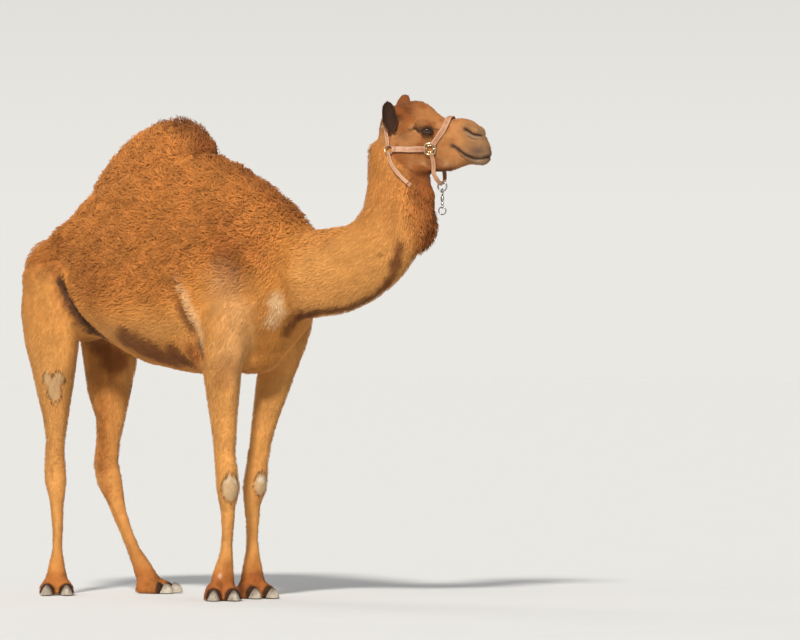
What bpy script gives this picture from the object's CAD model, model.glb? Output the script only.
"""A standing dromedary in a leather halter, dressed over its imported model.

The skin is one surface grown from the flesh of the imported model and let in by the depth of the
coat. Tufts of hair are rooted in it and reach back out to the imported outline.

Shapes are worked out in the animal's own coordinates, in metres: x forward along the body from
under the hump, y to its left from the middle plane, z up from the floor. The head has a frame
of its own, turned to the left: along, left and up. Finished pieces are moved into the frame of
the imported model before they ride.
"""

import logging
import math
from collections.abc import Callable
from dataclasses import dataclass, field, fields
from enum import Enum, IntEnum

import bmesh
import bpy
import numpy as np
from mathutils import Matrix, Vector
from mathutils.bvhtree import BVHTree
from mathutils.kdtree import KDTree


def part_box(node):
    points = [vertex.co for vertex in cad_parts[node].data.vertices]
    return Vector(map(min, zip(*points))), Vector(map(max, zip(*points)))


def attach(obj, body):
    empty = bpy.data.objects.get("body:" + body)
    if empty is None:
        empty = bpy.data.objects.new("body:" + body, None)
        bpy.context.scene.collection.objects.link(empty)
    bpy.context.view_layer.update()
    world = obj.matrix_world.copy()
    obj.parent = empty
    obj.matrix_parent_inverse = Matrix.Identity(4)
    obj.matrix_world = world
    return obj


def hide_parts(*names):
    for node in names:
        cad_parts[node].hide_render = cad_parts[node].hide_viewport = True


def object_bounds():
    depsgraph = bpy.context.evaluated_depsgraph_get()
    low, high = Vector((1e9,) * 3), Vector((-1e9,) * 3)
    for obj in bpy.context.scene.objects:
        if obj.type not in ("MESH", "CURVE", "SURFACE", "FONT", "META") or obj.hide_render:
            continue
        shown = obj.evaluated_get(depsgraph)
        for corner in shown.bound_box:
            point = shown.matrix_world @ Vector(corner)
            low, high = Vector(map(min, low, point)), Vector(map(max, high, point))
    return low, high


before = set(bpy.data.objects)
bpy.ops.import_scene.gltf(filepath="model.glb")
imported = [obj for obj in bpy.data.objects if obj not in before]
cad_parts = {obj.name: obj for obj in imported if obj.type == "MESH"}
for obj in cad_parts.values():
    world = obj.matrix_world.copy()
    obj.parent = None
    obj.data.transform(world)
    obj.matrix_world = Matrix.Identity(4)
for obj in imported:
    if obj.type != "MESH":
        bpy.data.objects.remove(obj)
CAD_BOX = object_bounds()

Array = np.ndarray
Arrays = tuple[Array, Array]  # such as a surface's vertices and triangles
Table = tuple | Array  # rows of numbers
Material, Socket = bpy.types.Material, bpy.types.NodeSocket
Sockets = bpy.types.NodeOutputs
Feed = float | tuple | Socket  # what a node's input takes

LOG = logging.getLogger("dromedary")
BODY = "root"

SIDES = (-1, 1)  # right and left
TAU = 2 * math.pi
HEAD_TURN = math.radians(25)
HEAD_BASE = np.array([1.11, 0.155, 0.0])
HEAD_AXES = np.array([
    [math.cos(HEAD_TURN), math.sin(HEAD_TURN), 0.0],
    [-math.sin(HEAD_TURN), math.cos(HEAD_TURN), 0.0],
    [0.0, 0.0, 1.0],
])
CHIN_RING_SPOT = (0.254, 0.0, 1.73)
EYE_SPOT = (0.214, 0.075, 1.957)
EYE_RADIUS = 0.0235

# The neck's middle line in millimetres.
NECK_LINE = (
    (560, 0, 1370), (850, 4, 1386), (1000, 26, 1408), (1105, 62, 1465),
    (1172, 104, 1570), (1200, 140, 1690), (1190, 158, 1815), (1175, 165, 1930),
)
# Each leg's middle line from the sole up, in millimetres: height, x, y.
LEG_LINES = {
    "fore_right": ((0, 454, -158), (95, 446, -143), (145, 450, -137), (220, 457, -133),
        (330, 466, -133), (470, 474, -142), (750, 460, -155), (1000, 468, -172),
        (1250, 505, -160)),
    "fore_left": ((0, 360, 124), (95, 341, 131), (145, 338, 133), (220, 337, 133), (330, 339, 132),
        (470, 347, 134), (750, 387, 156), (1000, 445, 184), (1250, 505, 172)),
    "hind_right": ((0, -517, -210), (125, -532, -195), (300, -533, -191), (410, -536, -190),
        (560, -546, -191), (760, -541, -192), (990, -558, -188), (1280, -588, -162)),
    "hind_left": ((0, -380, 234), (125, -437, 210), (300, -511, 174), (410, -545, 154),
        (560, -576, 138), (760, -574, 156), (990, -588, 174), (1280, -590, 160)),
}
LEG_NAMES = tuple(LEG_LINES)
# Where each foot's sole is, and how far it is turned to the left, in degrees.
FEET = {
    "fore_right": (0.454, -0.158, -36.0), "fore_left": (0.36, 0.124, -12.0),
    "hind_right": (-0.517, -0.21, -42.0), "hind_left": (-0.38, 0.234, 20.0),
}


class Region(IntEnum):
    """The parts of the animal whose coats differ."""

    TRUNK = 0
    HUMP = 1
    NECK = 2
    HEAD = 3
    UPPER_LEG = 4
    LOWER_LEG = 5
    FOOT = 6
    TAIL = 7
    EAR = 8
    EAR_INSIDE = 9


TRUNK, HUMP, NECK, HEAD, UPPER_LEG, LOWER_LEG, FOOT, TAIL, EAR, EAR_INSIDE = Region
LEG_REGIONS = (UPPER_LEG, LOWER_LEG, FOOT)
FLESH_NODES = {
    "trunk": TRUNK, "hump": HUMP, "neck_lower": NECK, "neck_upper": NECK, "head": HEAD,
    "lower_jaw": HEAD, "tail": TAIL,
    **{f"upper_leg_{leg}": UPPER_LEG for leg in LEG_NAMES},
    **{f"lower_leg_{leg}": LOWER_LEG for leg in LEG_NAMES},
    **{f"foot_{leg}": FOOT for leg in LEG_NAMES},
}


def metres(table: Table) -> Array:
    """A table of millimetres as an array of metres."""
    return np.array(table, float) / 1000.0


def own_offset() -> Array:
    """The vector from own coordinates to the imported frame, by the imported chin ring."""
    low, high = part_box("chin_ring")
    middle = (np.array(low) + np.array(high)) / 2
    return middle - from_head(np.array(CHIN_RING_SPOT))


def from_head(spots: Array) -> Array:
    """Turns head places (along, left, up) into own coordinates: base + spot · axes."""
    return np.asarray(spots, float) @ HEAD_AXES + HEAD_BASE


def to_head(places: Array) -> Array:
    """Turns own coordinates into head places: (place − base) · axesᵀ."""
    return (places - HEAD_BASE) @ HEAD_AXES.T


OFFSET = own_offset()


def turned(degrees: float) -> Array:
    """The matrix that turns rows of places to the left about the upright."""
    cos, sin = math.cos(math.radians(degrees)), math.sin(math.radians(degrees))
    return np.array([[cos, sin, 0.0], [-sin, cos, 0.0], [0.0, 0.0, 1.0]])


def on_foot(places: Array, leg: str) -> Array:
    """Places in a foot's own frame: forward, left and up from the middle of its sole."""
    x, y, turn = FEET[leg]
    return (places - (x, y, 0.0)) @ turned(-turn)


def ramp(value: Array, start: float, end: float) -> Array:
    """A smooth step from 0 at start to 1 at end: 3t² − 2t³ of the clipped share t."""
    share = np.clip((value - start) / (end - start), 0.0, 1.0)
    return share * share * (3.0 - 2.0 * share)


def circle(count: int) -> Array:
    """Even turns of a whole circle, from 0."""
    return np.linspace(0, TAU, count, endpoint=False)


def fall(value: Array, start: float, end: float) -> Array:
    """A smooth step from 1 at start to 0 at end: 1 less the ramp."""
    return 1.0 - ramp(value, start, end)


def bell(value: Array, width: float) -> Array:
    """A bell of height 1: exp(−(value / width)²)."""
    return np.exp(-((value / width) ** 2))


def power(value: Array, exponent: float) -> Array:
    """A power that keeps the sign: sign · |value|ⁿ."""
    return np.sign(value) * np.abs(value) ** exponent


def lengths(vectors: Array) -> Array:
    """The lengths of an array of vectors: the root of the sum of squares."""
    return np.sqrt((vectors * vectors).sum(axis=-1))


def run_along(line: Array) -> Array:
    """The length run from a line's start to each of its points."""
    return np.concatenate([[0.0], np.cumsum(lengths(np.diff(line, axis=0)))])


def unit(vectors: Array) -> Array:
    """Vectors divided by their lengths."""
    return vectors / np.maximum(lengths(vectors), 1e-12)[..., None]


def mirrored(places: Array) -> Array:
    """Places folded on to the right side: y becomes −|y|."""
    folded = places.copy()
    folded[:, 1] = -np.abs(folded[:, 1])
    return folded


def near_path(places: Array, path: Table) -> Arrays:
    """How near places lie to a polyline: each is dropped on to every leg, and the nearest wins.

    Args:
        places: Points, one a row.
        path: The polyline's points.

    Returns:
        Distances, and the shares of the path's length at the nearest points.
    """
    path = np.asarray(path, float)
    starts, ways = path[:-1], np.diff(path, axis=0)
    spans = lengths(ways)
    marks = np.concatenate([[0.0], np.cumsum(spans)]) / spans.sum()
    best = np.full(len(places), np.inf)
    share = np.zeros(len(places))
    for start, way, span, before, after in zip(starts, ways, spans, marks[:-1], marks[1:]):
        part = np.clip((places - start) @ way / span**2, 0.0, 1.0)
        gap = lengths(places - start - part[:, None] * way)
        share = np.where(gap < best, before + (after - before) * part, share)
        best = np.minimum(best, gap)
    return best, share


def by_neck(places: Array) -> tuple[Array, Array, Array]:
    """The neck's middle line by each place.

    Args:
        places: Points in own coordinates.

    Returns:
        The share of the line's length, the point there and the slope.
    """
    line = metres(NECK_LINE)
    _, share = near_path(places, line)
    marks = np.linspace(0, 1, len(line))
    return share, read(share, marks, line), read(share, marks, np.gradient(line, axis=0))


def drift(places: Array, size: float, seed: int) -> Array:
    """Smooth noise from −1 to 1: random numbers on a cubic lattice, blended with smoothsteps.

    Args:
        places: Points, one a row.
        size: The lattice's pitch.
        seed: Which noise.

    Returns:
        One number for each place.
    """
    cell = places / size
    base = np.floor(cell)
    part = cell - base
    part = part * part * (3.0 - 2.0 * part)
    base = base.astype(np.int64)
    total = np.zeros(len(places))
    for corner in np.ndindex(2, 2, 2):
        key = (base + np.array(corner)) @ np.array([73856093, 19349663, 83492791]) + seed * 9176213
        key = (key ^ (key >> 13)) & 0xFFFFFFFF
        key = (key * 1274126177) & 0xFFFFFFFF
        value = ((key >> 9) & 0xFFFF) / 32767.5 - 1.0
        total += value * np.prod(np.where(corner, part, 1.0 - part), axis=1)
    return total


def through(rows: Table, count: int) -> Array:
    """A smooth curve through rows: cubic Hermite pieces, read at even shares of the length.

    Args:
        rows: The points to pass, with any further values beside them.
        count: How many rows to give back.

    Returns:
        The curve's rows.
    """
    rows = np.asarray(rows, float)
    spans = lengths(np.diff(rows[:, :3], axis=0))
    marks = np.concatenate([[0.0], np.cumsum(spans)])
    slopes = np.gradient(rows, marks, axis=0)
    spots = np.linspace(0.0, marks[-1], count)
    at = np.clip(np.searchsorted(marks, spots, side="right") - 1, 0, len(rows) - 2)
    span = spans[at]
    t = ((spots - marks[at]) / span)[:, None]
    span = span[:, None]
    return (
        (2 * t**3 - 3 * t**2 + 1) * rows[at] + (t**3 - 2 * t**2 + t) * span * slopes[at]
        + (3 * t**2 - 2 * t**3) * rows[at + 1] + (t**3 - t**2) * span * slopes[at + 1]
    )


def read(at: Array, marks: Array, rows: Array) -> Array:
    """Rows of numbers that stand at marks, read between them column by column."""
    return np.column_stack([np.interp(at, marks, column) for column in rows.T])


def ease(line: Array, rounds: int) -> None:
    """Smooths a line in place: each inner point is mixed half with its two neighbours."""
    for _ in range(rounds):
        line[1:-1] = 0.25 * line[:-2] + 0.5 * line[1:-1] + 0.25 * line[2:]


def tube_faces(rings: int, sides: int, closed: bool = False) -> Array:
    """Triangles of a lofted tube whose vertices are stored ring by ring.

    Args:
        rings: How many rings.
        sides: Vertices of a ring.
        closed: Whether the last ring joins the first. If not, fans round a middle vertex each,
            stored after the rings, close the ends.

    Returns:
        The triangles.
    """
    i, j = np.meshgrid(np.arange(rings if closed else rings - 1), np.arange(sides), indexing="ij")
    here, there, after = i * sides, (i + 1) % rings * sides, (j + 1) % sides
    a, b, c, d = here + j, here + after, there + after, there + j
    faces = [np.stack(corners, -1).reshape(-1, 3) for corners in ([a, b, c], [a, c, d])]
    if not closed:
        side = np.arange(sides)
        after, last = (side + 1) % sides, (rings - 1) * sides
        middle = np.full(sides, rings * sides)
        faces.append(np.stack([middle, after, side], -1))
        faces.append(np.stack([middle + 1, last + side, last + after], -1))
    return np.concatenate(faces)


def tube(rings: Array, closed: bool = False) -> Arrays:
    """A closed surface through rings of points, its faces turned outwards.

    Args:
        rings: An array of rings by sides by 3.
        closed: Whether it runs round on itself, like a hoop.

    Returns:
        Vertices and triangles.
    """
    count, sides = rings.shape[:2]
    places = rings.reshape(-1, 3)
    if not closed:
        places = np.vstack([places, rings[0].mean(axis=0), rings[-1].mean(axis=0)])
    faces = tube_faces(count, sides, closed)
    return places, outward(places, faces)


def outward(places: Array, faces: Array) -> Array:
    """Faces turned over if the volume they enclose, the sum of a · (b × c) / 6, is negative."""
    a, b, c = (places[faces[:, k]] for k in range(3))
    volume = (a * np.cross(b, c)).sum()
    return faces if volume > 0 else faces[:, ::-1]


def together(parts: list[Arrays]) -> Arrays:
    """Several surfaces as one: vertices stacked, and each part's faces moved on by those before."""
    starts = np.cumsum([0] + [len(places) for places, _ in parts[:-1]])
    places = np.vstack([places for places, _ in parts])
    faces = np.vstack([faces + start for (_, faces), start in zip(parts, starts)])
    return places, faces


def hoop(
    centre: Table, axis: Array, radius: float, wire: float, sides: int = 48,
    squash: float = 1.0, squareness: float = 2.0,
) -> Arrays:
    """A ring of round wire: circles carried round a superellipse.

    The ring's radius is multiplied by (|cos|ⁿ + |sin|ⁿ)^(−1/n), n being the squareness.

    Args:
        centre: Its middle.
        axis: The way its hole faces.
        radius: To the middle of the wire.
        wire: The wire's radius.
        sides: Steps round the ring.
        squash: How much taller than wide it is.
        squareness: 2 for a round ring, more for a rounded square.

    Returns:
        Vertices and triangles.
    """
    axis = unit(np.asarray(axis, float))
    up = np.array([0.0, 0.0, 1.0]) - axis * axis[2]
    up = unit(up if lengths(up) > 0.1 else np.array([1.0, 0.0, 0.0]) - axis * axis[0])
    side = np.cross(axis, up)
    turn = circle(sides)[:, None, None]
    roll = circle(14)[None, :, None]
    out = np.cos(turn) * side + np.sin(turn) * up
    corner = sum(np.abs(way(turn)) ** squareness for way in (np.cos, np.sin)) ** (-1 / squareness)
    line = (np.cos(turn) * side + np.sin(turn) * up * squash) * radius * corner
    return tube(np.asarray(centre) + line + (np.cos(roll) * out + np.sin(roll) * axis) * wire, True)


def lathe(spot: Array, profile: list, sides: int = 28) -> Arrays:
    """A turned part on an upright axis: each (radius, height) of the profile becomes a circle."""
    profile = np.asarray(profile, float)
    turn = circle(sides)[None, :]
    radius, height = profile[:, :1], profile[:, 1:]
    rings = np.stack([
        spot[0] + radius * np.cos(turn), spot[1] + radius * np.sin(turn),
        height + np.zeros_like(turn),
    ], axis=-1)
    return tube(rings)


def add_object(name: str, data: bpy.types.ID) -> bpy.types.Object:
    """A new object of a mesh, a lamp or a camera, put in the scene."""
    thing = bpy.data.objects.new(name, data)
    bpy.context.scene.collection.objects.link(thing)
    return thing


def make_piece(
    name: str, surface: Arrays, material: Material, points: dict[str, Array] | None = None,
    corners: Array | None = None, normals: Array | None = None,
) -> bpy.types.Object:
    """A mesh object at the origin, its place in its vertices, riding on the body.

    Args:
        name: The piece's name.
        surface: Vertices in own coordinates, and triangles.
        material: What it is made of.
        points: Attributes with a number or a colour for each vertex.
        corners: The OFBake map, a pair for each corner of each triangle.
        normals: The vertices' normals, where they are not the mesh's own.

    Returns:
        The object.
    """
    places, faces = surface
    mesh = bpy.data.meshes.new(name)
    mesh.vertices.add(len(places))
    mesh.vertices.foreach_set("co", (places + OFFSET).astype(np.float32).ravel())
    mesh.loops.add(faces.size)
    mesh.loops.foreach_set("vertex_index", faces.astype(np.int32).ravel())
    mesh.polygons.add(len(faces))
    mesh.polygons.foreach_set("loop_start", np.arange(0, faces.size, 3, dtype=np.int32))
    mesh.update(calc_edges=True)
    mesh.polygons.foreach_set("use_smooth", np.ones(len(faces), bool))
    for key, values in (points or {}).items():
        kind, member = "FLOAT", "value"
        if values.ndim == 2:
            kind, member = "FLOAT_COLOR", "color"
            values = np.column_stack([values, np.ones(len(values))])
        layer = mesh.attributes.new(key, kind, "POINT")
        layer.data.foreach_set(member, values.astype(np.float32).ravel())
    if corners is not None:
        mesh.uv_layers.new(name="OFBake").data.foreach_set("uv", corners.astype(np.float32).ravel())
    if normals is not None:
        mesh.normals_split_custom_set_from_vertices(normals.astype(np.float32).tolist())
    mesh.materials.append(material)
    piece = add_object(name, mesh)
    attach(piece, BODY)
    LOG.info("%s: %d triangles", name, len(faces))
    return piece


def edges_of(faces: Array) -> Array:
    """The edges of triangles, each once: sorted pairs without repeats."""
    pairs = np.sort(np.vstack([faces[:, [0, 1]], faces[:, [1, 2]], faces[:, [2, 0]]]), axis=1)
    key = np.unique(pairs[:, 0].astype(np.int64) * (faces.max() + 1) + pairs[:, 1])
    return np.column_stack([key // (faces.max() + 1), key % (faces.max() + 1)])


def neighbour_mean(values: Array, edges: Array) -> Array:
    """Each vertex's mean over its neighbours: sums along edges divided by their count."""
    first, second = edges[:, 0], edges[:, 1]
    size = len(values)
    count = np.maximum(np.bincount(first, minlength=size) + np.bincount(second, minlength=size), 1)
    return np.column_stack([
        (np.bincount(first, each[second], size) + np.bincount(second, each[first], size)) / count
        for each in values.T
    ])


def vertex_normals(places: Array, faces: Array) -> Array:
    """Normals at vertices: the unit sum of the cross products of the triangles around."""
    a, b, c = (places[faces[:, k]] for k in range(3))
    crossed = np.cross(b - a, c - a)
    size = len(places)
    total = np.zeros((size, 3))
    for k in range(3):
        for axis in range(3):
            total[:, axis] += np.bincount(faces[:, k], crossed[:, axis], size)
    return unit(total)


@dataclass(frozen=True)
class Relief:
    """A ridge, or a groove where its height is negative, along a path.

    It adds height · exp(−(distance / width)²), and fades towards the path's ends.
    """

    path: tuple
    height: float
    width: float

    def distance(self, places: Array) -> Array:
        """How far each place is from the path."""
        return near_path(places, metres(self.path))[0]

    def rise(self, places: Array) -> Array:
        """How far it lifts each of the places."""
        distance, share = near_path(places, metres(self.path))
        fade = np.sin(np.pi * np.clip(share, 0.06, 0.94)) ** 0.5
        return self.height * fade * bell(distance, self.width)


# On the body, in millimetres: x, y, z of the right side; the left side has the same, mirrored.
BODY_RELIEFS = (
    Relief(((-505, -232, 1400), (-460, -236, 1322), (-427, -240, 1273), (-374, -250, 1222),
           (-320, -235, 1165), (-250, -200, 1100)), -0.032, 0.018),  # flank fold
    Relief(((-455, -240, 1400), (-400, -250, 1320), (-340, -262, 1260), (-270, -255, 1190),
           (-190, -235, 1120)), 0.011, 0.026),
    Relief(((262, -285, 1390), (300, -275, 1280), (354, -246, 1148), (400, -235, 1050)), -0.01,
           0.013),  # fold behind the elbow
    Relief(((295, -276, 1385), (345, -270, 1290), (385, -250, 1180), (405, -229, 1094)), 0.009,
           0.02),
    Relief(((470, -130, 1720), (560, -180, 1560), (650, -190, 1390), (680, -170, 1290)), 0.008,
           0.034),  # shoulder blade
    Relief(((700, -165, 1270), (640, -200, 1190), (560, -220, 1120)), 0.006, 0.028),
    Relief(((745, -120, 1420), (780, -120, 1300), (760, -100, 1200)), -0.008, 0.022),
    Relief(((560, -225, 1030), (505, -235, 980), (450, -232, 960)), -0.005, 0.012),
    Relief(((555, -215, 990), (505, -225, 945), (455, -222, 925)), -0.004, 0.01),
    Relief(((-600, -240, 1400), (-560, -265, 1250), (-500, -275, 1080)), -0.006, 0.035),
    Relief(((-660, -190, 1330), (-660, -220, 1150), (-620, -235, 1000)), 0.006, 0.03),
)
# On the sides of the head, in millimetres: along and up.
SIDE_RELIEFS = (
    Relief(((318, 1899), (332, 1890), (352, 1874), (372, 1858), (392, 1849), (414, 1841.5),
           (440, 1842), (458, 1849), (480, 1858)), -0.0085, 0.0042),  # mouth
    Relief(((332, 1906), (356, 1889), (376, 1873), (396, 1864), (420, 1857), (446, 1858),
           (468, 1868)), 0.0034, 0.0075),  # upper lip
    Relief(((352, 1861), (374, 1845), (396, 1834), (440, 1828)), 0.003, 0.0065),
    Relief(((370, 1967), (385, 1958), (405, 1945), (421, 1941), (438, 1937)), -0.011,
           0.0044),  # nostril
    Relief(((368, 1972), (384, 1976), (402, 1973), (428, 1962)), 0.0046, 0.007),
    Relief(((380, 1949), (400, 1937), (420, 1929), (436, 1930)), 0.0036, 0.006),
    Relief(((384, 1934), (412, 1922), (439, 1925), (452, 1915)), -0.0024, 0.0034),
    Relief(((376, 1921), (408, 1912), (436, 1914)), 0.0022, 0.006),
    Relief(((166, 1984), (196, 1995), (228, 1991), (252, 1975)), 0.0052, 0.009),
    Relief(((166, 1936), (190, 1927), (216, 1924), (240, 1933)), -0.0026, 0.003),
    Relief(((176, 1922), (212, 1912), (248, 1920)), -0.002, 0.0034),
    Relief(((250, 1944), (290, 1934), (340, 1930)), 0.003, 0.009),  # cheekbone
    Relief(((105, 1820), (129, 1796), (162, 1780), (203, 1782), (250, 1784), (300, 1790)), -0.0075,
           0.011),  # under the jaw
    Relief(((108, 1840), (135, 1817), (165, 1801), (205, 1803), (292, 1810), (330, 1822)), 0.0062,
           0.013),  # the jaw's edge
    Relief(((168, 1830), (186, 1865), (190, 1905)), -0.003, 0.011),  # jaw muscle
    Relief(((300, 1965), (335, 1950), (362, 1930)), -0.003, 0.011),
    Relief(((324, 1888), (341, 1863), (360, 1847), (378, 1833)), -0.0026, 0.0036),
    Relief(((296, 1892), (306, 1880), (314, 1864)), -0.0014, 0.0036),
)

MOUTH, NOSTRIL, CRESCENT, JAW_GROOVE = 0, 3, 5, 12  # places in SIDE_RELIEFS


@dataclass
class Lids:
    """The lids of one eye: skin that follows the ball and opens in an almond.

    In the plane across the line of sight the opening's edges are rise · (1 − (a / half)²) and
    −fall · (1 − (a / half)²), a being the place along the eye's length.
    """

    side: int
    half: float = 0.021
    rise: float = 0.0105
    fall: float = 0.0098
    cover: float = 0.003  # thickness of the lids over the ball
    sink: float = 0.0035  # how far the skin goes behind the ball's face

    def axes(self) -> Array:
        """The eye's own axes in own coordinates: forward, up and outward."""
        out = unit(np.array([0.26, 0.963 * self.side, 0.06]))
        up = unit(np.array([0.1, 0.0, 1.0]) - out * (0.1 * out[0] + out[2]))
        fore = unit(np.cross(up, out)) * self.side
        return np.array([fore, up, out]) @ HEAD_AXES

    def centre(self) -> Array:
        """The middle of the ball."""
        return from_head(np.array([EYE_SPOT[0], EYE_SPOT[1] * self.side, EYE_SPOT[2]]))

    def margin(self, fore: Array, up: Array) -> Array:
        """How far outside the opening a place in the eye's plane is; less than 0 is inside."""
        arch = 1.0 - (fore / self.half) ** 2
        inner = np.maximum(up - self.rise * arch, -self.fall * arch - up)
        beyond = np.hypot(np.abs(fore) - self.half, up)
        return np.where(np.abs(fore) < self.half, inner, np.maximum(beyond, 0.0))

    def look(self, places: Array) -> tuple[Array, Array, Array]:
        """Places in the eye's axes, how far they are from its middle, and the margin there."""
        local = (places - self.centre()) @ self.axes().T
        reach = lengths(local)
        scale = EYE_RADIUS / np.maximum(reach, 1e-6)
        return local, reach, self.margin(local[:, 0] * scale, local[:, 1] * scale)

    def mould(self, places: Array) -> Array:
        """Places near the eye, moved along the way out from the ball's middle.

        The distance from the middle becomes the ball's radius, less the sink inside the opening
        or plus the cover outside it, and goes back to what it was further out.
        """
        local, reach, edge = self.look(places)
        near = (reach < 0.05) & (local[:, 2] > 0.15 * reach)
        lid = EYE_RADIUS - self.sink + (self.sink + self.cover) * ramp(edge, -0.0006, 0.0018)
        fold = bell(edge - 0.007, 0.0022) * 0.0022
        fold += bell(edge - 0.0125, 0.0026) * 0.0014 * (local[:, 1] < 0)
        lid = lid - fold + bell(edge - 0.0034, 0.0022) * 0.0012
        outer = np.maximum(reach, np.where(edge < 0.018, EYE_RADIUS + 0.0012, 0.0))
        wanted = np.where(near, outer + (lid - outer) * fall(edge, 0.009, 0.021), reach)
        return self.centre() + (local * (wanted / np.maximum(reach, 1e-6))[:, None]) @ self.axes()


@dataclass
class Ear:
    """A cupped ear: a leaf rolled round its midrib, open towards one side.

    Across the leaf the angle runs from −roll to roll, and the radius is half the width over the
    sine of the roll. The width follows a leaf's outline along the midrib.
    """

    base: tuple
    tip: tuple
    outlook: tuple
    width: float = 0.057
    wall: float = 0.003
    across: int = 25  # points over the leaf

    def surface(self) -> Arrays:
        """The closed shell of the ear, in own coordinates."""
        along = np.linspace(0.0, 1.0, 34)[:, None]
        across = np.linspace(-1.0, 1.0, self.across)[None, :]
        base, tip = from_head(np.array(self.base)), from_head(np.array(self.tip))
        out = unit(np.array(self.outlook) @ HEAD_AXES)
        rib = unit(tip - base)
        out = unit(out - rib * out.dot(rib))
        side = np.cross(rib, out)
        taper = np.sqrt(np.maximum(1.0 - (np.clip(along - 0.34, 0, 1) / 0.66) ** 2.2, 0.0))
        half = 0.5 * self.width * (0.36 + 0.64 * ramp(along, -0.05, 0.42)) * taper + 0.0016
        roll = 2.35 - 1.25 * ramp(along, 0.0, 0.75)
        radius = half / np.sin(np.minimum(roll, np.pi / 2))
        angle = across * roll
        bend = 0.01 * np.sin(np.pi * along)
        spine = base + (tip - base) * along[..., None] - out * bend[..., None]
        wave = 1.0 + 0.05 * np.sin(9.0 * along) * across**2
        shells = []
        for level in (0.5, -0.5):
            thick = self.wall * level * (1.0 - 0.55 * across**2)
            reach = radius * wave + thick
            shells.append(
                spine + side * (np.sin(angle) * reach)[..., None]
                + out * (radius * 0.62 - np.cos(angle) * reach)[..., None]
            )
        return tube(np.concatenate([shells[0], shells[1][:, ::-1]], axis=1))


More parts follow.
